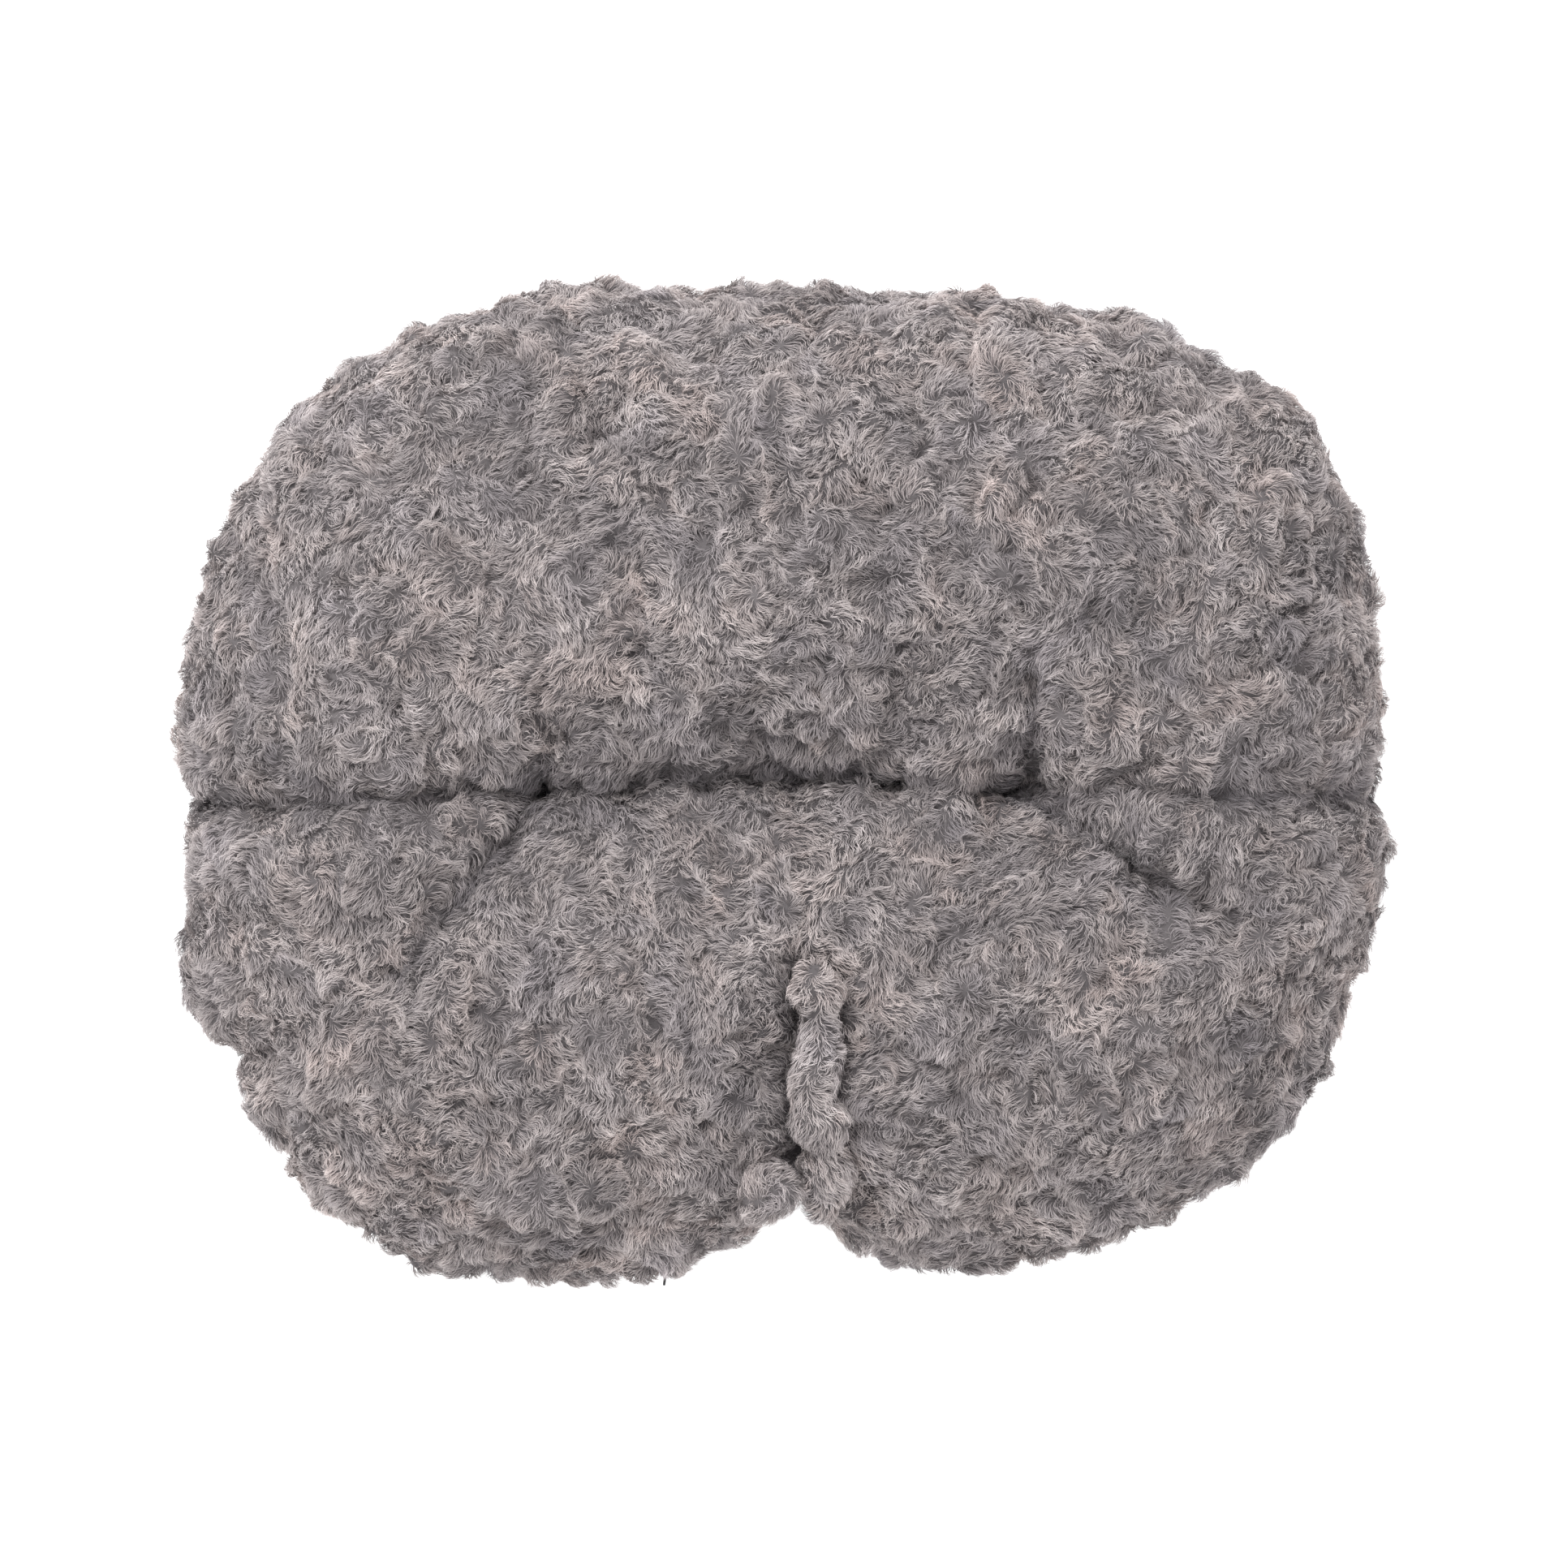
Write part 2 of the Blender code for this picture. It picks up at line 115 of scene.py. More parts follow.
# Pile: strands to the square metre, and what each strand is
PILE_DENSITY = 980_000
HIDDEN_DENSITY_SHARE = 0.25
STRAND_SEGMENTS = 3
STRAND_LENGTH = (0.0064, 0.0096)
STRAND_WIDTH = (0.00025, 0.00040)
STRAND_TAPER = (0.8, 1.0, 0.75)
STRAND_ROLL = 1.0
STRAND_RISE = (0.68, 1.00)
TIP_DROOP = 0.10
BEND_CURVE = 1.2
GRIP_CURVE = 1.3
LOCK_SPACING = 0.0120
LOCK_GRIP = 0.15
LOCK_TURN = 0.25
LOCK_SHINGLE = 0.30
LOCK_LENGTHS = (0.88, 1.15)
LOCK_RISES = (0.85, 1.18)
TUFT_SPACING = 0.0030
TUFT_GRIP = 0.12
STRAND_TURN = 0.28
RISE_SWING = 0.25

# Stray strands: their share, and their rise, turn, grip and width against the others'
FUZZ_SHARE = 0.08
FUZZ_RISE = 1.15
FUZZ_TURN = 3
FUZZ_GRIP = 0.1
FUZZ_WIDTH = 0.6

# Directions in which the pile lies
CURL_SHARE = 0.45
CREST_SHARE = 0.55
CREST_WIDTH = 0.45
CREST_RISE = 0.30
CRIMP = 0.35
DOWN_COMB = np.array([0.0, -0.35, 0.0])
SEAM_COMB = 1.6
SEAM_COMB_WIDTH = 0.022
SLIT_COMB = 1.0
SLIT_COMB_WIDTH = 0.022

# Tones of the pile from 0, dark, to 1, pale, and its tints from cool to warm
# Each strand is darker at its root and paler at its tip: painted shade down in the pile and painted
# light on the tips
ROOT_TONE = 0.18
TIP_PAINTED_LIGHT = 0.54
TONE_CURVE = 0.8
TONE_AT_ROOT = 0.4
OWN_TONE = 0.08
TUFT_TONE = 0.03
LOCK_TONE = 0.04
# Within a lock the raised front strands are painted paler and the back strands, under the next
# lock's tips, darker: painted light and shade
AHEAD_PAINTED_SHADING = 0.06
CLOUD_TONE = 0.05
PATCH_TONE = 0.055
# Crests, where the pile meets and stands higher, are painted paler and the pile between them a
# little darker: painted light and shade
CREST_PAINTED_LIGHT = 0.09
CREST_MEAN = 0.3
CREASE_SHADE = 0.36
CREASE_SHADE_WIDTH = 0.70
SLIT_SHADE_WIDTH = 0.006
LOCK_TINT = 0.10
TINT_CLOUD = 0.14
# The tint follows the tone, so painted shade in the creases and between crests is also cooler and
# painted light on the crests warmer; random tone differences follow too
TINT_FOLLOWS_TONE = 0.8

# Where the pile grows, and how many strands a piece of it holds
PILE_FOOT = 0.0085
PILE_FOOT_FADE = 0.001
FLOOR_GAP = 0.0008
HIDDEN_REACH = 0.060
HIDDEN_HEIGHT = 0.085
HIDDEN_PAST_SLIT = 0.030
PIECE_STRANDS = 38_000

# Closing seam's piping: name, CAD node, its long axis, radius, shift to +X, stretch, pile's drift
PIPED_LENGTHS = (
    ("closing_roll", "front_seam_roll", 1, 0.0098, 0.0035, 1.05, (0.0, -1.0, 0.0)),
    ("closing_foot", "front_seam_foot", 0, 0.0088, 0.0050, 0.85, (-1.0, -0.3, 0.0)),
)
PIPING_POINTS = 40
PIPING_SLICES = 8
PIPING_LIFT = 0.0050
PIPING_TAPER = 1 / 7
PIPING_BLUNTNESS = 0.25
PIPING_BULGE = 0.20
BULGE_WAVELENGTH = 0.03
PIPING_SWAY = 0.0015
SWAY_WAVELENGTH = 0.04
PIPING_PARTING = 0.9
PIPING_DRIFT = 0.4
PIPING_GLOW = 0.05
PIPING_SIDES = 20

# Fill, floor and base
FILL_FACE_SHARE = 0.5
FILL_SMOOTHING = 8
FILL_INSET = 0.0045
FILL_WISPS = 0.0008
PAD_SHRINK = 0.99
PAD_SHARES = (0.25, 0.5, 0.75, 0.9, 0.97, 1.0)
PAD_CLEARANCE = 0.0008
PAD_RIM = 0.35
PAD_LUMP = 0.0006
CLOTH_CLEARANCE = 0.0003
CLOTH_RIPPLE = 0.00025
BASE_CLEARANCE = 0.0002
BASE_RIPPLE = 0.00012

# Binding: section of its tape, out from the rim and up, and its stitches' steps and thickness
TAPE_SECTION = (
    (-0.0078, 0.0004), (-0.0060, 0.0), (-0.0020, 0.0), (-0.0006, 0.0006), (0.0, 0.0024),
    (-0.0002, 0.0044), (-0.0012, 0.0058), (-0.0030, 0.0062), (-0.0070, 0.0062), (-0.0078, 0.0055),
)
TAPE_PUCKER = 0.00022
TAPE_PUCKERS_OUTSIDE = -0.003
STITCH_PITCH = 0.0032
STITCH_LENGTH = 0.0022
STITCH_RADIUS = 0.00028
STITCH_HEIGHT = 0.0036
STITCH_PROUD = 0.00005
STITCH_SIDES = 6
STITCH_PROFILE = ((-0.5, 0.4), (-0.25, 1.0), (0.25, 1.0), (0.5, 0.4))

# Grip dots
DOT_PITCH = 0.0100
DOT_RADIUS = 0.0016
DOT_HEIGHT = 0.0008
DOT_PROFILE = ((1.0, 1.0), (0.92, 0.45), (0.6, 0.10))
DOT_TIP = 0.02
DOT_SIDES = 10
DOT_RIM_GAP = 0.008

# Label
LABEL_LAYER = 0.00035
LABEL_COLUMNS = 24
LABEL_ROWS = 15
LABEL_FOLD_SHARE = 0.12
LABEL_LIFT = 0.00012
LABEL_WAVES = 60

# Cloths: name, dark and light colours, pitch of the threads, roughness
FLOOR_NAP = ("floor_nap", (0.05, 0.048, 0.052), (0.085, 0.08, 0.084), 0.0006, 0.9)
BASE_WEAVE = ("base_weave", (0.045, 0.045, 0.05), (0.10, 0.10, 0.105), 0.0008, 0.85)

# Grained materials: name, dark and light colours, grain's size, roughness, grain's depth
GRIP_RUBBER = ("grip_rubber", (0.03, 0.03, 0.033), (0.045, 0.045, 0.05), 0.001, 0.55, 0.0001)
THREAD = ("thread", (0.10, 0.095, 0.10), (0.16, 0.15, 0.155), 0.0006, 0.6, 0.0001)
SATIN = ("satin", (0.74, 0.73, 0.71), (0.86, 0.85, 0.83), 0.0007, 0.35, 0.00005)
NYLON = ("nylon", (0.012, 0.012, 0.013), (0.02, 0.02, 0.022), 0.0008, 0.25, 0.0)

# Studio
FOCAL_LENGTH = 80.0
SENSOR_WIDTH = 36.0
VIEW_WIDTH = 0.788
VIEW_MIDDLE = (0.0004, -0.0012)
OUTLINE_HEIGHT = 0.078
FLOOR_SIZE = 12.0
FLOOR_DROP = 0.0002
FLOOR_GLOW = 0.55
SKY_STRENGTH = 1.0
LAMP_SIZE = (1.6, 1.1)
LAMP_POWER = 32.0
LAMP_PLACE = (-0.75, 1.25, 1.75)
LAMP_AIM = (0.0, 0.0, 0.08)

# Plane waves in a smooth random field
WAVES = 24

# Smooth random fields: seed and wavelength
WHORLS = (70, 0.06)
CURLS = (80, 0.022)
CRESTS = (85, 0.046)
CRIMPS = (97, 0.005)
RISES = (93, 0.012)
CLOUDS = (90, 0.12)
PATCHES = (91, 0.035)
TINTS = (92, 0.05)
WISPS = (50, 0.02)
PAD_LUMPS = (51, 0.04)
CLOTH_RIPPLES = (52, 0.03)
BASE_RIPPLES = (53, 0.05)

# Other seeds: the stuffing's lumps, and the draws of the ring's and the piping's pile
LUMP_SEED = 40
RING_PILE_SEED = 11
PIPING_SEED = 21


# ---- numbers and fields


def unit(vectors):
    """Vectors of length 1 along the last axis."""
    return vectors / np.maximum(np.linalg.norm(vectors, axis=-1, keepdims=True), 1e-12)


def waves(points, seed, wavelength):
    """Fronts of plane waves in random directions, and each wave's phase at the points."""
    rng = np.random.default_rng(seed)
    fronts = unit(rng.normal(size=(WAVES, 3))) * rng.uniform(0.7, 1.4, (WAVES, 1))
    phases = rng.uniform(0, 2 * math.pi, WAVES)
    return fronts, points @ fronts.T * (2 * math.pi / wavelength) + phases


def wave_noise(points, seed, wavelength):
    """Smooth random field of unit variance."""
    return np.cos(waves(points, seed, wavelength)[1]).sum(-1) * math.sqrt(2 / WAVES)


def wave_slope(points, seed, wavelength):
    """Slope of a smooth random field, as vectors about 1 long."""
    fronts, turns = waves(points, seed, wavelength)
    return np.sin(turns) @ fronts * math.sqrt(2 / WAVES)


def along_surface(vectors, normals):
    """The vectors' directions along a surface with these normals."""
    return unit(vectors - (vectors * normals).sum(-1, keepdims=True) * normals)


def turned(vectors, axes, angles):
    """Vectors turned by angles about axes at right angles to them."""
    angles = angles[:, None]
    return np.cos(angles) * vectors + np.sin(angles) * np.cross(axes, vectors)


def ramp(values, start, span):
    """0 up to a start, 1 beyond a span from it, straight between."""
    return np.clip((values - start) / span, 0, 1)


def bump(points, middle, size):
    """1 at a middle, falling smoothly to 0 over a size along each axis."""
    return np.exp(-(((points - np.array(middle)) / size) ** 2).sum(-1))


def facing_up(normals):
    """1 where a surface faces up, falling to 0 on its walls."""
    return np.clip(normals[:, 2] * SLOPE_FADE, 0, 1)


def path_distance(plan, path):
    """Distance of plan points from a path, a polyline."""
    best = np.full(len(plan), np.inf)
    for start, end in zip(path, path[1:]):
        start, along = np.array(start), np.array(end) - np.array(start)
        share = np.clip((plan - start) @ along / (along @ along), 0, 1)
        best = np.minimum(best, np.linalg.norm(plan - start - share[:, None] * along, axis=1))
    return best


def nearest(centres, points):
    """Index of the nearest centre to each point."""
    tree = KDTree(len(centres))
    for i, centre in enumerate(centres):
        tree.insert(centre, i)
    tree.balance()
    return np.array([tree.find(point)[1] for point in points])


# ---- meshes


def link(obj):
    bpy.context.scene.collection.objects.link(obj)
    return obj


def make_object(name, points, faces, material):
    """Smooth-shaded mesh object."""
    mesh = bpy.data.meshes.new(name)
    mesh.from_pydata(np.asarray(points).tolist(), [], [tuple(map(int, f)) for f in faces])
    work = bmesh.new()
    work.from_mesh(mesh)
    bmesh.ops.recalc_face_normals(work, faces=work.faces)
    work.to_mesh(mesh)
    work.free()
    mesh.shade_smooth()
    mesh.materials.append(material)
    return link(bpy.data.objects.new(name, mesh))


def ring_faces(rings, sides, start=0):
    """Faces between rings of points that follow each other, each of so many sides."""
    faces = []
    for i in range(rings - 1):
        for j in range(sides):
            a, b = start + i * sides + j, start + i * sides + (j + 1) % sides
            faces.append((a, b, b + sides, a + sides))
    return faces


def capped_rings(rings, sides, start=0):
    """Faces between rings of points, and a face over the first and the last ring."""
    last = start + (rings - 1) * sides
    caps = [tuple(range(start, start + sides)), tuple(range(last, last + sides))]
    return ring_faces(rings, sides, start) + caps


def points_of(mesh):
    """Vertex places of a mesh, as an array."""
    flat = np.empty(len(mesh.vertices) * 3)
    mesh.vertices.foreach_get("co", flat)
    return flat.reshape(-1, 3)


def set_points(mesh, points):
    mesh.vertices.foreach_set("co", np.ascontiguousarray(points, np.float32).ravel())
    mesh.update()


def normals_of(mesh):
    """Vertex normals of a mesh, as an array."""
    flat = np.empty(len(mesh.vertices) * 3)
    mesh.vertex_normals.foreach_get("vector", flat)
    return flat.reshape(-1, 3)


def apply_modifiers(obj):
    """Gives the object the mesh that its modifiers make, and removes them."""
    graph = bpy.context.evaluated_depsgraph_get()
    made = bpy.data.meshes.new_from_object(obj.evaluated_get(graph))
    obj.modifiers.clear()
    obj.data = made


def subdivide(obj):
    smooth = obj.modifiers.new("smooth", "SUBSURF")
    smooth.levels = smooth.render_levels = 1
    apply_modifiers(obj)


def smooth(obj, rounds):
    relax = obj.modifiers.new("relax", "SMOOTH")
    relax.iterations = rounds
    apply_modifiers(obj)


def triangles_of(mesh):
    mesh.calc_loop_triangles()
    flat = np.empty(len(mesh.loop_triangles) * 3, np.int64)
    mesh.loop_triangles.foreach_get("vertices", flat)
    return flat.reshape(-1, 3)


def place(obj, slot, *nodes):
    """Finishes a piece: it rides on the only body and stands for CAD nodes. Its slot is not used.
    """
    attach(obj, "root")
    if nodes:
        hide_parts(*nodes)
    return obj


# ---- materials


class Shader:
    """A new Principled material, with short ways to add and link nodes."""

    def __init__(self, name, **settings):
        self.material = bpy.data.materials.new(name)
        self.material.use_nodes = True
        self.tree = self.material.node_tree
        self.main = self.tree.nodes["Principled BSDF"]
        for socket, value in settings.items():
            self.main.inputs[socket.replace("_", " ")].default_value = value

    def node(self, kind, inputs=None, **settings):
        made = self.tree.nodes.new(kind)
        for key, value in settings.items():
            setattr(made, key, value)
        for key, value in (inputs or {}).items():
            if isinstance(value, bpy.types.NodeSocket):
                self.tree.links.new(value, made.inputs[key])
            else:
                made.inputs[key].default_value = value
        return made

    def feed(self, socket, output):
        self.tree.links.new(output, self.main.inputs[socket])

    def place(self):
        """The object's own coordinates, in metres."""
        return self.node("ShaderNodeTexCoord").outputs["Object"]

    def noise(self, size, detail=3.0, vector=None):
        """Noise whose features are about size across."""
        made = self.node(
            "ShaderNodeTexNoise",
            {"Vector": vector or self.place(), "Scale": 0.5 / size, "Detail": detail},
        )
        return made.outputs["Fac"]

    def ramp(self, value, *stops):
        """Colours at places from 0 to 1."""
        made = self.node("ShaderNodeValToRGB", {"Fac": value})
        elements = made.color_ramp.elements
        while len(elements) < len(stops):
            elements.new(0.5)
        for element, (position, colour) in zip(elements, stops):
            element.position = position
            element.color = (*colour, 1.0)
        return made.outputs["Color"]

    def mix(self, share, first, second, blend="MIX"):
        made = self.node("ShaderNodeMix", data_type="RGBA", blend_type=blend)
        for index, value in ((0, share), (6, first), (7, second)):
            if isinstance(value, bpy.types.NodeSocket):
                self.tree.links.new(value, made.inputs[index])
            elif index:
                made.inputs[index].default_value = (*value, 1.0)
            else:
                made.inputs[index].default_value = value
        return made.outputs[2]

    def math(self, operation, first, second=0.5):
        made = self.node("ShaderNodeMath", {0: first, 1: second}, operation=operation)
        return made.outputs[0]

    def bump(self, height, depth, strength=1.0):
        inputs = {"Height": height, "Distance": depth, "Strength": strength}
        made = self.node("ShaderNodeBump", inputs)
        self.feed("Normal", made.outputs["Normal"])


def pile_material():
    """Pile fibre: dark at its root as painted shade down in the pile, paler at its tip as painted
    light, with warm and cool grey locks.
    """
    shader = Shader("plush_pile", Roughness=0.78, Specular_IOR_Level=0.22)
    shader.main.inputs["Sheen Weight"].default_value = 0.25
    shader.main.inputs["Sheen Roughness"].default_value = 0.45
    tone = shader.node("ShaderNodeAttribute", attribute_name="tone").outputs["Fac"]
    tint = shader.node("ShaderNodeAttribute", attribute_name="tint").outputs["Fac"]
    grey = shader.ramp(
        tone,
        (0.0, (0.165, 0.150, 0.152)),
        (0.35, (0.350, 0.318, 0.318)),
        (0.7, (0.605, 0.550, 0.540)),
        (1.0, (0.840, 0.775, 0.757)),
    )
    hue = shader.ramp(
        tint,
        (0.0, (0.97, 0.97, 1.01)),
        (0.5, (1.0, 0.99, 0.995)),
        (1.0, (1.05, 0.99, 0.97)),
    )
    shader.feed("Base Color", shader.mix(1.0, grey, hue, "MULTIPLY"))
    return shader.material


def backing_material():
    """Knitted ground that the pile stands on."""
    shader = Shader("plush_ground", Roughness=0.9, Specular_IOR_Level=0.15)
    cloud = shader.noise(0.03)
    colour = shader.ramp(cloud, (0.3, (0.110, 0.100, 0.104)), (0.7, (0.170, 0.155, 0.158)))
    shader.feed("Base Color", colour)
    shader.bump(shader.noise(0.0012, 2.0), 0.0006)
    return shader.material


def fibre_material():
    """Carded white polyester fibre, with the faint grey streaks of its wisps."""
    shader = Shader("fibre_fill", Roughness=0.85, Specular_IOR_Level=0.3)
    wisps = shader.noise(0.004, 8.0)
    colour = shader.ramp(wisps, (0.25, (0.66, 0.66, 0.65)), (0.7, (0.88, 0.88, 0.87)))
    shader.feed("Base Color", colour)
    shader.bump(wisps, 0.0015)
    return shader.material


def weave(shader, pitch, vector):
    """Plain weave of threads a pitch apart: its height from 0 to 1."""
    heights = []
    for direction in ("X", "Y"):
        wave = shader.node(
            "ShaderNodeTexWave",
            {"Vector": vector, "Scale": 0.05 / pitch, "Distortion": 0.3, "Detail Scale": 2.0},
            bands_direction=direction,
        )
        heights.append(wave.outputs["Fac"])
    return shader.math("MAXIMUM", heights[0], heights[1])


def cloth_material(name, dark, light, pitch, roughness):
    """Woven cloth with worn and slightly uneven colour."""
    shader = Shader(name, Roughness=roughness, Specular_IOR_Level=0.25)
    vector = shader.place()
    thread = weave(shader, pitch, vector)
    worn = shader.noise(0.035, 5.0, vector)
    base = shader.ramp(thread, (0.2, dark), (0.95, light))
    shader.feed("Base Color", shader.mix(worn, base, tuple(1.15 * c for c in light)))
    shader.bump(thread, 0.0004)
    return shader.material


def tape_material():
    """Ribbed binding tape."""
    shader = Shader("binding_tape", Roughness=0.7, Specular_IOR_Level=0.3)
    ribs = shader.noise(0.0011, 1.0)
    colour = shader.ramp(ribs, (0.3, (0.060, 0.058, 0.062)), (0.7, (0.105, 0.100, 0.104)))
    shader.feed("Base Color", colour)
    shader.bump(ribs, 0.0003)
    return shader.material


def grained_material(name, dark, light, size, roughness, depth):
    """One colour with a fine grain."""
    shader = Shader(name, Roughness=roughness)
    grain = shader.noise(size, 4.0)
    shader.feed("Base Color", shader.ramp(grain, (0.3, dark), (0.7, light)))
    if depth:
        shader.bump(grain, depth)
    return shader.material


# ---- stuffed ring


def copy_node(node, name):
    """New object with a welded copy of a CAD node's mesh."""
    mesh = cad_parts[node].data.copy()
    work = bmesh.new()
    work.from_mesh(mesh)
    bmesh.ops.remove_doubles(work, verts=work.verts, dist=1e-5)
    work.to_mesh(mesh)
    work.free()
    return link(bpy.data.objects.new(name, mesh))


def voxel_remesh(obj, size):
    remesh = obj.modifiers.new("remesh", "REMESH")
    remesh.mode = "VOXEL"
    remesh.voxel_size = size
    apply_modifiers(obj)


def inflate(obj, pinned):
    """Swells the closed mesh as a stuffed cover, held at its pinned points."""
    rest = points_of(obj.data)
    held = obj.vertex_groups.new(name="held")
    held.add(np.flatnonzero(pinned).tolist(), 1.0, "REPLACE")
    cloth = obj.modifiers.new("stuffing", "CLOTH")
    cloth.settings.vertex_group_mass = held.name
    cloth.settings.use_pressure = True
    cloth.settings.uniform_pressure_force = PRESSURE
    cloth.settings.effector_weights.gravity = 0.0
    for number in range(1, SIMULATED_FRAMES + 1):
        bpy.context.scene.frame_set(number)
    apply_modifiers(obj)
    bpy.context.scene.frame_set(1)
    shift = points_of(obj.data) - rest
    size = np.linalg.norm(shift, axis=1, keepdims=True)
    shift *= np.minimum(1, SWELL_CAP / np.maximum(size, 1e-9))
    set_points(obj.data, rest + shift)


def crease_nearness(points, spread=1.0):
    """For each crease, 1 in its bottom, falling to 0 over spread times its width."""
    plan = points[:, :2]
    widths = [path_distance(plan, path) / (spread * width) for path, _, width in CREASES]
    return np.exp(-(np.array(widths) ** 2))


def press_creases(points, normals):
    """Moves points in along the seams and creases, on the ring's top and outside."""
    facing = facing_up(normals) * ramp(points[:, 2], CREASE_CLEARS_FLOOR, FLOOR_FADE)
    deepest = np.array([depth for _, depth, _ in CREASES])
    depth = (deepest[:, None] * crease_nearness(points)).max(0)
    points = points - (depth * facing)[:, None] * normals
    dent = WALL_DENT_DEPTH * bump(points, WALL_DENT, WALL_DENT_SIZE)
    return points - dent[:, None] * normals


def slit_y(x):
    """The slit's middle line in plan."""
    return SLIT_Y + SLIT_ARCH * (1 - (x / SLIT_END) ** 2)


def swell_lips(points):
    """Moves the two lips towards each other, the rear one further, so that the slit closes."""
    x, y, z = points.T
    from_slit = y - slit_y(x)
    most = np.where(from_slit > 0, REAR_LIP_SWELL, FRONT_LIP_SWELL)
    near = np.exp(-(((np.abs(from_slit) - LIP_STANDOFF) / LIP_SPREAD) ** 2))
    near = np.where(np.abs(from_slit) < LIP_STANDOFF, 1, near)
    inside = ramp(SLIT_END - np.abs(x), 0, LIP_END_FADE)
    push = most * near * inside * ramp(z, LIP_FOOT, LIP_RISE)
    return np.stack([x, y - np.sign(from_slit) * push, z], -1)


def add_lumps(points, normals):
    """Uneven stuffing: soft lumps of several sizes, fewer near the floor."""
    height = np.full(len(points), GROUND_OFFSET)
    for number, (wavelength, depth) in enumerate(SURFACE_LUMPS):
        height += depth * wave_noise(points, LUMP_SEED + number, wavelength)
    for middle, size, most in OUTLINE_SWELLS:
        height += most * bump(points[:, :2], middle, size)
    creased = crease_nearness(points).max(0) * facing_up(normals)
    height *= ramp(points[:, 2], LUMPS_CLEAR_FLOOR, LUMP_FADE) * (1 - CREASE_LUMP_LOSS * creased)
    return points + height[:, None] * normals


def stuffed_ring():
    """The stuffed ring's surface under its pile, as an object."""
    ring = copy_node("bolster_fill", "stuffed_ring")
    voxel_remesh(ring, VOXEL)
    points = points_of(ring.data)
    seam_distance = np.min([path_distance(points[:, :2], path) for path, *_ in CREASES[:3]], 0)
    pinned = (points[:, 2] < PINNED_HEIGHT) | (seam_distance < PINNED_SEAM_WIDTH)
    inflate(ring, pinned)
    subdivide(ring)
    points, normals = points_of(ring.data), normals_of(ring.data)
    points = swell_lips(press_creases(points, normals))
    set_points(ring.data, points)
    smooth(ring, FOLD_SMOOTHING)
    points = points_of(ring.data)
    set_points(ring.data, add_lumps(points, normals_of(ring.data)))
    smooth(ring, LUMP_SMOOTHING)
    return ring


def panel_of(points):
    """0 behind the slit and the side seams, 1 left and 2 right of the closing seam in front."""
    x, y = points[:, 0], points[:, 1]
    side = SLIT_Y - SIDE_SEAM_SLOPE * (np.abs(x) - SLIT_END)
    behind = y > np.where(np.abs(x) < SLIT_END, slit_y(x), side)
    (seam_in, _), (seam_middle, middle_y), (seam_out, out_y) = CLOSING_SEAM
    seam_x = np.interp(-y, (0.0, -middle_y, -out_y), (seam_in, seam_middle, seam_out))
    return np.where(behind, 0, np.where(x < seam_x, 1, 2))


# Panels in panel_of's order: name of the fabric ground, name of the pile and CAD node
PANELS = (
    ("rear_cover_ground", "rear_pile", "rear_bolster_cover"),
    ("front_left_cover_ground", "front_left_pile", "front_left_bolster_cover"),
    ("front_right_cover_ground", "front_right_pile", "front_right_bolster_cover"),
)


def cut_panels(ring, material):
    """The ring's surface cut along its seams into the three panels' fabric ground."""
    points = points_of(ring.data)
    faces = np.array([tuple(face.vertices) for face in ring.data.polygons])
    owner = panel_of(points[faces].mean(1))
    for number, (name, _, node) in enumerate(PANELS):
        own = faces[owner == number]
        used, index = np.unique(own, return_inverse=True)
        panel = make_object(name, points[used], index.reshape(own.shape), material)
        place(panel, "plush", node)


# ---- pile


def scatter(points, triangles, normals, weight, density, rng):
    """Random roots on a surface, density times weight to the square metre, and their normals."""
    a, b, c = (points[triangles[:, k]] for k in range(3))
    area = np.linalg.norm(np.cross(b - a, c - a), axis=1) / 2 * weight[triangles].mean(1)
    count = int(area.sum() * density)
    chosen = rng.choice(len(triangles), count, p=area / area.sum())
    u, v = rng.random((2, count))
    over = u + v > 1
    u, v = np.where(over, 1 - u, u), np.where(over, 1 - v, v)
    shares = np.stack([1 - u - v, u, v], 1)[:, :, None]
    corners = triangles[chosen]
    return (points[corners] * shares).sum(1), unit((normals[corners] * shares).sum(1))


def spread_centres(roots, spacing, area, rng):
    """Indices of roots about spacing apart, as the middles of locks."""
    count = max(4, int(area / spacing**2))
    centres = roots[rng.choice(len(roots), count, replace=False)]
    sample = roots[:: max(1, len(roots) // 30_000)]
    for _ in range(2):
        own = nearest(centres, sample)
        total = np.zeros((count, 3))
        np.add.at(total, own, sample)
        number = np.bincount(own, minlength=count)[:, None]
        centres = np.where(number > 0, total / np.maximum(number, 1), centres)
    return np.unique(nearest(roots, centres))


def heading_at(points, normals, comb, turn):
    """Direction in which the pile lies: whorls, small curls, crests where it meets, and a comb."""
    whorls = wave_slope(points, *WHORLS)
    whorls += CURL_SHARE * wave_slope(points, *CURLS)
    off_crest = wave_noise(points, *CRESTS)[:, None]
    meeting = CREST_SHARE * off_crest * wave_slope(points, *CRESTS)
    stream = np.cross(normals, whorls) + meeting + comb + DOWN_COMB
    turn = turn + CRIMP * wave_noise(points, *CRIMPS)
    return turned(along_surface(stream, normals), normals, turn)


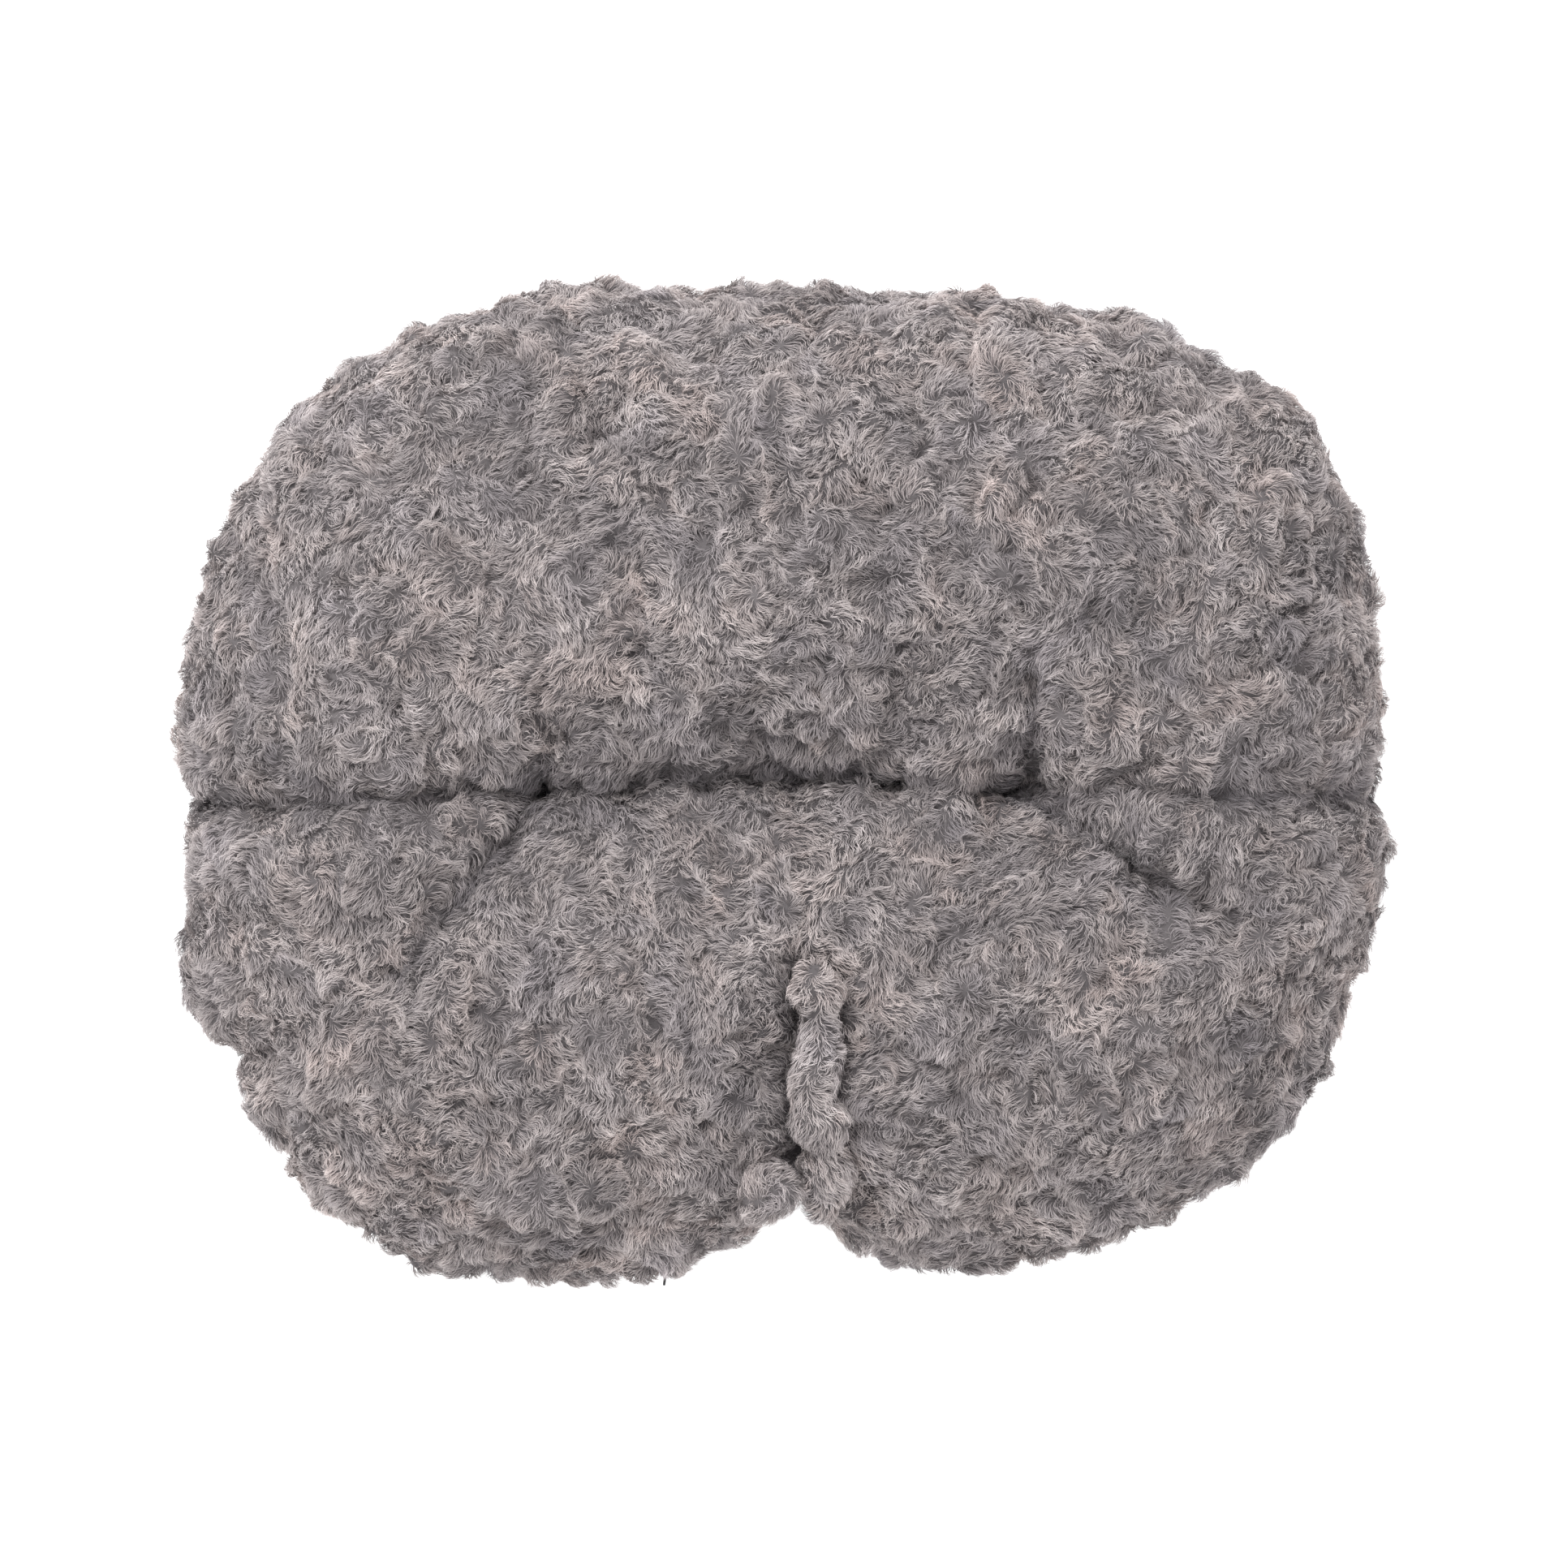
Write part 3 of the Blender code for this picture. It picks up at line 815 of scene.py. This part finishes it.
def strand_paths(roots, normals, length, rise, turn, comb):
    """Points of each strand, which rises from its root and bends over along the flow."""
    points = [roots]
    for k in range(STRAND_SEGMENTS):
        here = points[-1]
        heading = heading_at(here, normals, comb, turn)
        climb = rise * (1 - k / (STRAND_SEGMENTS - 1)) ** BEND_CURVE
        climb = climb - TIP_DROOP * k / STRAND_SEGMENTS
        ahead = np.cos(climb)[:, None] * heading + np.sin(climb)[:, None] * normals
        points.append(here + (length / STRAND_SEGMENTS)[:, None] * ahead)
    return np.stack(points, 1)


def gather(paths, roots, centre_ids, grip):
    """Draws each strand towards the strand at the middle of its lock, most at its tip."""
    own = nearest(roots[centre_ids], roots)
    share = np.linspace(0, 1, STRAND_SEGMENTS + 1)[None, :, None] ** GRIP_CURVE
    guides = paths[centre_ids][own]
    return paths + grip[:, None, None] * share * (guides - paths), own


def ribbons(paths, normals, width, roll):
    """Seven corners of each strand: its left edge, its right edge and its tip."""
    ahead = unit(np.gradient(paths, axis=1))
    side = unit(np.cross(ahead, normals[:, None]))
    up = np.cross(side, ahead)
    roll = roll[:, None, None]
    side = np.cos(roll) * side + np.sin(roll) * up
    reach = side[:, :-1] * (width[:, None] / 2 * np.array(STRAND_TAPER))[..., None]
    return np.concatenate([paths[:, :-1] - reach, paths[:, :-1] + reach, paths[:, -1:]], 1)


STRAND_FACES = ((0, 3, 4, 1), (1, 4, 5, 2), (2, 5, 6))
STRAND_CORNERS = 7


def strand_object(name, corners, tone, tint, material):
    """Mesh object of many strands, with their tones and tints as attributes."""
    count = len(corners)
    pattern = np.concatenate(STRAND_FACES)
    starts = np.cumsum([0] + [len(face) for face in STRAND_FACES[:-1]])
    strand = np.arange(count)[:, None]
    mesh = bpy.data.meshes.new(name)
    mesh.vertices.add(count * STRAND_CORNERS)
    mesh.vertices.foreach_set("co", corners.astype(np.float32).ravel())
    corner_index = (strand * STRAND_CORNERS + pattern).astype(np.int32)
    mesh.loops.add(count * len(pattern))
    mesh.loops.foreach_set("vertex_index", corner_index.ravel())
    loop_start = (strand * len(pattern) + starts).astype(np.int32)
    mesh.polygons.add(count * len(STRAND_FACES))
    mesh.polygons.foreach_set("loop_start", loop_start.ravel())
    mesh.update(calc_edges=True)
    mesh.shade_smooth()
    for key, values in (("tone", tone), ("tint", tint)):
        attribute = mesh.attributes.new(key, "FLOAT", "POINT")
        attribute.data.foreach_set("value", values.astype(np.float32).ravel())
    add_cells(mesh, count, pattern)
    mesh.materials.append(material)
    return link(bpy.data.objects.new(name, mesh))


def add_cells(mesh, count, pattern):
    """UV map with a small cell for each strand, its root at the foot and its tip at the top."""
    along = np.array([0.12, 0.42, 0.70])
    corner_u = np.array([0.30, 0.30, 0.30, 0.70, 0.70, 0.70, 0.50])
    corner_v = np.concatenate([along, along, [0.92]])
    side = math.ceil(math.sqrt(count))
    strand = np.arange(count)[:, None]
    u = (strand % side + corner_u[pattern]) / side
    v = (strand // side + corner_v[pattern]) / side
    layer = mesh.uv_layers.new(name="OFBake")
    layer.uv.foreach_set("vector", np.stack([u, v], -1).astype(np.float32).ravel())


def grow_pile(points, triangles, normals, weight, comb_of, shade_of, seed):
    """Strand corners, tones, tints and roots of the pile on a surface."""
    rng = np.random.default_rng(seed)
    roots, out = scatter(points, triangles, normals, weight, PILE_DENSITY, rng)
    count = len(roots)
    area = count / PILE_DENSITY
    lock_ids = spread_centres(roots, LOCK_SPACING, area, rng)
    tuft_ids = spread_centres(roots, TUFT_SPACING, area, rng)
    lock_of = nearest(roots[lock_ids], roots)
    locks = len(lock_ids)
    comb = comb_of(roots, out)
    lock_turn = rng.normal(0, LOCK_TURN, locks)
    lock_ahead = heading_at(roots[lock_ids], out[lock_ids], comb[lock_ids], lock_turn)
    in_lock = roots - roots[lock_ids][lock_of]
    ahead = np.clip((in_lock * lock_ahead[lock_of]).sum(-1) / (LOCK_SPACING / 2), -1, 1)
    lock_length = rng.uniform(*LOCK_LENGTHS, locks)
    lock_rise = rng.uniform(*LOCK_RISES, locks)
    lock_tone = rng.normal(0, LOCK_TONE, locks)
    lock_tint = rng.normal(0, LOCK_TINT, locks)

    fuzz = rng.random(count) < FUZZ_SHARE
    shingle = 1 + LOCK_SHINGLE * ahead
    length = rng.uniform(*STRAND_LENGTH, count) * lock_length[lock_of]
    rise = rng.uniform(*STRAND_RISE, count) * lock_rise[lock_of] * shingle
    rise *= 1 + RISE_SWING * wave_noise(roots, *RISES)
    crest = np.exp(-((wave_noise(roots, *CRESTS) / CREST_WIDTH) ** 2))
    rise *= 1 + CREST_RISE * crest
    rise = np.where(fuzz, FUZZ_RISE * rise, rise)
    turn = lock_turn[lock_of] + rng.normal(0, STRAND_TURN, count) * np.where(fuzz, FUZZ_TURN, 1)
    paths = strand_paths(roots, out, length, rise, turn, comb)
    grip = np.where(fuzz, FUZZ_GRIP, 1.0)
    paths, _ = gather(paths, roots, lock_ids, LOCK_GRIP * grip)
    paths, tuft_of = gather(paths, roots, tuft_ids, TUFT_GRIP * grip)
    width = rng.uniform(*STRAND_WIDTH, count) * np.where(fuzz, FUZZ_WIDTH, 1)
    corners = ribbons(paths, out, width, rng.uniform(-STRAND_ROLL, STRAND_ROLL, count))
    corners[..., 2] = np.maximum(corners[..., 2], FLOOR_GAP)

    along = np.linspace(0, 1, STRAND_SEGMENTS + 1)
    along = np.concatenate([along[:-1], along[:-1], along[-1:]])
    tuft_tone = rng.normal(0, TUFT_TONE, len(tuft_ids))
    own_tone = rng.normal(0, OWN_TONE, count) + lock_tone[lock_of] + tuft_tone[tuft_of]
    # Painted light on the lock's raised front, painted shade on its back under the next lock's tips
    own_tone += AHEAD_PAINTED_SHADING * ahead
    cloud = CLOUD_TONE * wave_noise(roots, *CLOUDS)
    cloud += PATCH_TONE * wave_noise(roots, *PATCHES)
    # Painted light on the raised crests and a little painted shade between them
    cloud += CREST_PAINTED_LIGHT * (crest - CREST_MEAN) - shade_of(roots)
    # Darker root and paler tip along each strand: painted shade down in the pile, painted light on
    # the tips
    tone = ROOT_TONE + TIP_PAINTED_LIGHT * along[None, :] ** TONE_CURVE
    tone = tone + (own_tone + cloud)[:, None] * (TONE_AT_ROOT + along[None, :])
    tint = 0.5 + lock_tint[lock_of] + TINT_CLOUD * wave_noise(roots, *TINTS)
    # Cooler where the tone is darker, warmer where paler: this also tints the painted shade and
    # light
    tint += TINT_FOLLOWS_TONE * (cloud + lock_tone[lock_of])
    tint = np.repeat(tint[:, None], STRAND_CORNERS, 1)
    return corners, np.clip(tone, 0, 1), np.clip(tint, 0, 1), roots


def slit_nearness(points, width):
    """1 between the slit's lips, falling to 0 over a width beside it."""
    x, y, _ = points.T
    return np.exp(-(((y - slit_y(x)) / width) ** 2)) * (np.abs(x) < SLIT_END)


def crease_shade(points):
    """How much darker the pile is in the creases' bottoms and between the slit's lips."""
    in_crease = crease_nearness(points, CREASE_SHADE_WIDTH).max(0)
    return CREASE_SHADE * np.maximum(in_crease, slit_nearness(points, SLIT_SHADE_WIDTH))


def piping_shade(points):
    """How much darker the piping's pile is: it's a little paler all over."""
    return np.full(len(points), -PIPING_GLOW)


def pile_weight(points, normals):
    """How thickly the ring's surface is piled: none underneath, thin where nothing shows."""
    weight = ramp(points[:, 2], PILE_FOOT, PILE_FOOT_FADE)
    x, y, z = np.abs(points).T
    inward = -np.sign(points[:, 1] - SLIT_Y) * normals[:, 1] > 0.2
    deep = inward & (x < SLIT_END + HIDDEN_PAST_SLIT) & (y < HIDDEN_REACH) & (z < HIDDEN_HEIGHT)
    return np.where(deep, weight * HIDDEN_DENSITY_SHARE, weight)


def comb_strokes(roots, normals):
    """Comb strokes that lay the pile away from the closing seam's roll and over the slit."""
    path = np.array(CLOSING_SEAM)
    seam_x = np.interp(-roots[:, 1], -path[:, 1], path[:, 0])
    distance = path_distance(roots[:, :2], CLOSING_SEAM)
    near = np.exp(-((distance / SEAM_COMB_WIDTH) ** 2))
    stroke = SEAM_COMB * near * np.sign(roots[:, 0] - seam_x)
    over_slit = SLIT_COMB * slit_nearness(roots, SLIT_COMB_WIDTH)
    return np.stack([stroke, -over_slit, np.zeros(len(roots))], -1)


def add_ring_pile(ring, material):
    """The three panels' pile, in pieces that each hold a run of it round the ring."""
    points, normals = points_of(ring.data), normals_of(ring.data)
    weight = pile_weight(points, normals)
    corners, tone, tint, roots = grow_pile(
        points, triangles_of(ring.data), normals, weight, comb_strokes, crease_shade, RING_PILE_SEED
    )
    owner = panel_of(roots)
    bearing = np.mod(np.arctan2(roots[:, 1], roots[:, 0]) + math.pi / 2, 2 * math.pi)
    for number, (_, name, _) in enumerate(PANELS):
        own = np.flatnonzero(owner == number)
        own = own[np.argsort(bearing[own])]
        runs = np.array_split(own, math.ceil(len(own) / PIECE_STRANDS))
        for run_number, run in enumerate(runs, 1):
            piece = strand_object(
                f"{name}_{run_number}", corners[run], tone[run], tint[run], material
            )
            place(piece, "plush")


# ---- closing seam


def centre_line(node, axis, count):
    """Middle line of a long CAD node: the middle of its points in slices along an axis."""
    points = points_of(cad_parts[node].data)
    order = np.argsort(points[:, axis])
    return np.array([part.mean(0) for part in np.array_split(points[order], count)])


def resample(path, count):
    """Evenly spaced points along a path."""
    step = np.linalg.norm(np.diff(path, axis=0), axis=1)
    at = np.concatenate([[0], np.cumsum(step)])
    wanted = np.linspace(0, at[-1], count)
    return np.stack([np.interp(wanted, at, values) for values in path.T], -1)


def tube(name, path, radii, sides, material):
    """Closed round tube along a path."""
    ahead = unit(np.gradient(path, axis=0))
    side = unit(np.cross(ahead, [0.0, 0.0, 1.0]))
    up = np.cross(side, ahead)
    turn = np.linspace(0, 2 * math.pi, sides, endpoint=False)[None, :, None]
    circle = np.cos(turn) * side[:, None] + np.sin(turn) * up[:, None]
    rings = path[:, None] + radii[:, None, None] * circle
    return make_object(name, rings.reshape(-1, 3), capped_rings(len(path), sides), material)


def add_piping(name, node, axis, radius, aside, stretch, drift, seed, backing, pile):
    """A piped length of the closing seam: its ground, and pile that parts along its middle."""
    drift = np.array(drift)
    line = centre_line(node, axis, PIPING_SLICES) + [aside, 0, 0]
    line = line[:: 1 if drift @ (line[-1] - line[0]) > 0 else -1]
    line = line[0] + stretch * (resample(line, PIPING_POINTS) - line[0])
    line += [0, 0, PIPING_LIFT]
    share = np.linspace(0, 1, PIPING_POINTS)
    taper = np.sqrt(np.minimum(share, 1 - share) / PIPING_TAPER)
    bulge = PIPING_BULGE * wave_noise(line, seed, BULGE_WAVELENGTH)
    radii = radius * np.clip(taper, PIPING_BLUNTNESS, 1) * (1 + bulge)
    line[:, 0] += PIPING_SWAY * wave_noise(line, seed + 1, SWAY_WAVELENGTH)
    ground = tube(f"{name}_ground", line, radii, PIPING_SIDES, backing)
    place(ground, "plush", node)
    points, normals = points_of(ground.data), normals_of(ground.data)

    def comb_of(roots, out):
        outward = (roots - line[nearest(line, roots)]) * [1, 1, 0]
        return PIPING_PARTING * unit(outward) + PIPING_DRIFT * drift

    weight = np.ones(len(points))
    corners, tone, tint, _ = grow_pile(
        points, triangles_of(ground.data), normals, weight, comb_of, piping_shade, seed
    )
    coat = strand_object(f"{name}_pile", corners, tone, tint, pile)
    place(coat, "plush")


# ---- fill, floor and base


def wall_contour(node, count):
    """Outer plan contour of a CAD plate or ring about the origin, by even bearings."""
    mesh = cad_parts[node].data
    corners = []
    for face in mesh.polygons:
        middle = face.center
        outward = Vector((middle.x, middle.y, 0)).normalized()
        if face.normal.dot(outward) > 0.5:
            corners += [mesh.vertices[i].co[:2] for i in face.vertices]
    corners = np.array([tuple(corner) for corner in corners])
    wanted = np.linspace(-math.pi, math.pi, count, endpoint=False)
    reach = reach_along(corners, wanted)
    return reach[:, None] * np.stack([np.cos(wanted), np.sin(wanted)], -1)


def reach_along(contour, bearings):
    """How far a plan contour is from the origin along bearings."""
    own = np.arctan2(contour[:, 1], contour[:, 0])
    radius = np.linalg.norm(contour, axis=1)
    order = np.argsort(own)
    return np.interp(bearings, own[order], radius[order], period=2 * math.pi)


def by_length(contour, count):
    """Closed plan contour with evenly spaced points."""
    closed = np.concatenate([contour, contour[:1]])
    return resample(closed, count + 1)[:-1]


def disc(name, contour, shares, height_of, material):
    """Closed plate in rings of shares of its contour, with heights under and over it."""
    rings = []
    for under, ordered in ((True, shares), (False, shares[::-1])):
        for share in ordered:
            plan = contour * share
            rings.append(np.column_stack([plan, height_of(plan, share, under)]))
    faces = capped_rings(len(rings), len(contour))
    return make_object(name, np.concatenate(rings), faces, material)


def as_space(plan):
    return np.column_stack([plan, np.zeros(len(plan))])


def add_fill(ring, material):
    """Fibre stuffing just inside the stuffed ring's surface."""
    fill = link(bpy.data.objects.new("fibre_stuffing", ring.data.copy()))
    thin = fill.modifiers.new("thin", "DECIMATE")
    thin.ratio = FILL_FACE_SHARE
    apply_modifiers(fill)
    smooth(fill, FILL_SMOOTHING)
    points, normals = points_of(fill.data), normals_of(fill.data)
    inset = FILL_INSET + FILL_WISPS * np.clip(wave_noise(points, *WISPS), -2, 2)
    set_points(fill.data, points - inset[:, None] * normals)
    fill.data.materials.clear()
    fill.data.materials.append(material)
    place(fill, "fibre_fill", "bolster_fill")


def add_floor(fibre, cloth):
    """Crowned floor pad, and the cloth stretched over it."""
    low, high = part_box("floor_pad_fill")
    contour = by_length(wall_contour("floor_pad_fill", 360), 160) * PAD_SHRINK

    def pad_height(plan, share, under):
        crown = math.sqrt(max(0.0, 1 - share**6))
        lump = PAD_LUMP * wave_noise(as_space(plan), *PAD_LUMPS)
        half = (high.z - low.z) / 2 - PAD_CLEARANCE
        reach = half * (PAD_RIM + (1 - PAD_RIM) * crown)
        return (low.z + high.z) / 2 + (-reach if under else reach) + lump * crown

    pad = disc("floor_pad", contour, PAD_SHARES, pad_height, fibre)
    place(pad, "fibre_fill", "floor_pad_fill")

    low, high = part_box("floor_panel")
    contour = by_length(wall_contour("floor_panel", 360), 200)
    shares = tuple(np.linspace(0.08, 1.0, 14))

    def cloth_height(plan, share, under):
        ripple = CLOTH_RIPPLE * wave_noise(as_space(plan), *CLOTH_RIPPLES)
        return (low.z + CLOTH_CLEARANCE if under else high.z - CLOTH_CLEARANCE) + ripple

    sheet = disc("floor_cloth", contour, shares, cloth_height, cloth)
    place(sheet, "floor_fabric", "floor_panel")


def add_base(cloth, rubber):
    """Grip base: the woven cloth, and the small rubbery dots printed on it."""
    low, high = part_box("base_panel")
    contour = by_length(wall_contour("base_panel", 720), 420)
    shares = tuple(np.linspace(0.06, 1.0, 20))

    def height(plan, share, under):
        ripple = BASE_RIPPLE * wave_noise(as_space(plan), *BASE_RIPPLES)
        return (DOT_HEIGHT if under else high.z) - BASE_CLEARANCE + ripple

    sheet = disc("base_cloth", contour, shares, height, cloth)
    place(sheet, "base_fabric", "base_panel")
    place(grip_dots(contour, rubber), "base_fabric")


def grip_dots(contour, material):
    """Low round dots in staggered rows over the base, clear of its rim."""
    dot, faces = one_dot()
    points, all_faces = [], []
    for number, centre in enumerate(dot_centres(contour)):
        points.append(dot + [*centre, 0])
        all_faces += [tuple(number * len(dot) + k for k in face) for face in faces]
    return make_object("grip_dots", np.concatenate(points), all_faces, material)


def one_dot():
    """Points and faces of one domed dot that hangs from the cloth, about its centre."""
    turn = np.linspace(0, 2 * math.pi, DOT_SIDES, endpoint=False)
    circle = np.stack([np.cos(turn), np.sin(turn)], -1)
    rings = []
    for radius, height in DOT_PROFILE:
        level = np.full(DOT_SIDES, height * DOT_HEIGHT)
        rings.append(np.column_stack([circle * DOT_RADIUS * radius, level]))
    points = np.concatenate([*rings, [[0, 0, DOT_TIP * DOT_HEIGHT]]])
    tip = len(points) - 1
    last = tip - DOT_SIDES
    faces = ring_faces(len(rings), DOT_SIDES)
    faces += [(last + j, last + (j + 1) % DOT_SIDES, tip) for j in range(DOT_SIDES)]
    return points, faces


def dot_centres(contour):
    """Middles of the staggered dots in plan that lie clear of the contour."""
    row_pitch = DOT_PITCH * math.sqrt(3) / 2
    columns, rows = (np.abs(contour).max(0) / (DOT_PITCH, row_pitch)).astype(int)
    centres = []
    for row in range(-rows, rows + 1):
        for column in range(-columns - 1, columns + 2):
            centres.append(((column + 0.5 * (row % 2)) * DOT_PITCH, row * row_pitch))
    centres = np.array(centres)
    rim = reach_along(contour, np.arctan2(centres[:, 1], centres[:, 0]))
    return centres[np.linalg.norm(centres, axis=1) < rim - DOT_RIM_GAP]


def add_binding(tape, thread):
    """Binding tape folded over the base seam, and the stitches that hold it."""
    low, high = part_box("base_binding")
    contour = by_length(wall_contour("base_binding", 720), 900)
    place(folded_tape(contour, low.z, high.z, tape), "binding_tape", "base_binding")
    place(stitches(contour, low.z + STITCH_HEIGHT, thread), "binding_tape")


def rim_directions(contour):
    """Directions along and out of a closed plan contour, at its points."""
    ahead = unit(np.roll(contour, -1, 0) - np.roll(contour, 1, 0))
    out = np.stack([ahead[:, 1], -ahead[:, 0]], -1)
    return ahead, out * np.sign((out * contour).sum(1, keepdims=True))


def folded_tape(contour, bottom, top, material):
    """Tape folded round a rim, slightly puckered on its outside."""
    _, out = rim_directions(contour)
    pucker = TAPE_PUCKER * np.cos(np.arange(len(contour)) * math.pi)
    rings = []
    for aside, height in TAPE_SECTION:
        edge = contour + out * (aside + pucker[:, None] * (aside > TAPE_PUCKERS_OUTSIDE))
        level = min(bottom + height, top)
        rings.append(np.column_stack([edge, np.full(len(contour), level)]))
    sides = len(rings)
    points = np.stack(rings, 1).reshape(-1, 3)
    wrapped = np.arange(len(points) + sides) % len(points)
    faces = wrapped[np.array(ring_faces(len(contour) + 1, sides))]
    return make_object("binding", points, faces, material)


def stitches(contour, height, material):
    """Short blunt stitches along a rim."""
    length = np.linalg.norm(np.roll(contour, -1, 0) - contour, axis=1).sum()
    places = by_length(contour, int(length / STITCH_PITCH))
    ahead, out = rim_directions(places)
    turn = np.linspace(0, 2 * math.pi, STITCH_SIDES, endpoint=False)
    points, faces = [], []
    for place_at, along, aside in zip(places, ahead, out):
        faces += capped_rings(len(STITCH_PROFILE), STITCH_SIDES, len(points))
        for share, size in STITCH_PROFILE:
            plan = place_at + along * share * STITCH_LENGTH + aside * STITCH_PROUD
            for angle in turn:
                offset = aside * math.cos(angle) * STITCH_RADIUS * size
                up = math.sin(angle) * STITCH_RADIUS * size
                points.append((*(plan + offset), height + up))
    return make_object("binding_stitches", points, faces, material)


def add_label(satin):
    """Blank satin label folded double, its fold out and slightly lifted."""
    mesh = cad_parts["care_label"].data
    corners = points_of(mesh)
    low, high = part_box("care_label")
    plan = corners[:, :2]
    middle = plan.mean(0)
    _, _, axes = np.linalg.svd(plan - middle)
    wide, deep = axes[0], axes[1]
    deep = deep * np.sign(deep @ middle)
    half_width = np.abs((plan - middle) @ wide).max()
    half_depth = np.abs((plan - middle) @ deep).max()
    gap = (high.z - low.z) / 2 - LABEL_LAYER / 2
    points = []
    for from_fold in np.linspace(-1, 1, LABEL_ROWS):
        reach = half_depth * (1 - 2 * abs(from_fold) ** 1.15)
        up = gap * np.clip(from_fold / LABEL_FOLD_SHARE, -1, 1)
        for x in np.linspace(-half_width, half_width, LABEL_COLUMNS):
            spot = middle + wide * x + deep * reach
            wave = LABEL_LIFT * math.sin(LABEL_WAVES * x * math.pi)
            lift = wave * (reach + half_depth) / half_depth
            points.append((*spot, (low.z + high.z) / 2 + up + lift))
    faces = []
    for i in range(LABEL_ROWS - 1):
        for j in range(LABEL_COLUMNS - 1):
            a = i * LABEL_COLUMNS + j
            faces.append((a, a + 1, a + LABEL_COLUMNS + 1, a + LABEL_COLUMNS))
    label = make_object("folded_label", points, faces, satin)
    solid = label.modifiers.new("layer", "SOLIDIFY")
    solid.thickness = LABEL_LAYER
    solid.offset = 0.0
    apply_modifiers(label)
    place(label, "label_satin", "care_label")


def finish_stub(nylon):
    """The cut filament keeps its CAD shape."""
    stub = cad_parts["tag_fastener_stub"]
    for slot in stub.material_slots:
        slot.material = nylon


# ---- studio


def add_studio():
    """White floor, an even white sky and one large soft lamp behind the bed."""
    half = FLOOR_SIZE / 2
    shader = Shader("studio_floor", Roughness=0.95, Specular_IOR_Level=0.0)
    white = shader.ramp(shader.noise(0.4), (0.0, (0.93,) * 3), (1.0, (0.95,) * 3))
    shader.feed("Base Color", white)
    shader.main.inputs["Emission Color"].default_value = (1.0, 1.0, 1.0, 1.0)
    shader.main.inputs["Emission Strength"].default_value = FLOOR_GLOW
    corners = [(-half, -half, 0), (half, -half, 0), (half, half, 0), (-half, half, 0)]
    floor = make_object("studio_floor", corners, [(0, 1, 2, 3)], shader.material)
    floor.location.z = -FLOOR_DROP

    world = bpy.data.worlds.new("studio_sky")
    world.use_nodes = True
    background = world.node_tree.nodes["Background"]
    background.inputs["Color"].default_value = (1.0, 1.0, 1.0, 1.0)
    background.inputs["Strength"].default_value = SKY_STRENGTH
    bpy.context.scene.world = world

    lamp = bpy.data.lights.new("key_lamp", "AREA")
    lamp.shape = "RECTANGLE"
    lamp.size, lamp.size_y = LAMP_SIZE
    lamp.energy = LAMP_POWER
    key = link(bpy.data.objects.new("key_lamp", lamp))
    key.location = LAMP_PLACE
    aim = Vector(LAMP_AIM) - key.location
    key.rotation_euler = aim.to_track_quat("-Z", "Y").to_euler()
    bpy.context.scene.view_settings.view_transform = "Standard"


def add_camera():
    """Camera straight above, with the bed's back to the top of the picture."""
    camera = bpy.data.cameras.new("camera")
    camera.lens = FOCAL_LENGTH
    camera.sensor_width = SENSOR_WIDTH
    distance = VIEW_WIDTH * FOCAL_LENGTH / SENSOR_WIDTH
    eye = link(bpy.data.objects.new("camera", camera))
    eye.location = (*VIEW_MIDDLE, OUTLINE_HEIGHT + distance)
    bpy.context.scene.camera = eye


def main():
    add_camera()
    add_studio()
    pile = pile_material()
    ground = backing_material()
    fibre = fibre_material()
    ring = stuffed_ring()
    cut_panels(ring, ground)
    add_ring_pile(ring, pile)
    add_fill(ring, fibre)
    bpy.data.objects.remove(ring)
    for number, settings in enumerate(PIPED_LENGTHS):
        add_piping(*settings, PIPING_SEED + number, ground, pile)
    add_floor(fibre, cloth_material(*FLOOR_NAP))
    add_base(cloth_material(*BASE_WEAVE), grained_material(*GRIP_RUBBER))
    add_binding(tape_material(), grained_material(*THREAD))
    add_label(grained_material(*SATIN))
    finish_stub(grained_material(*NYLON))


main()
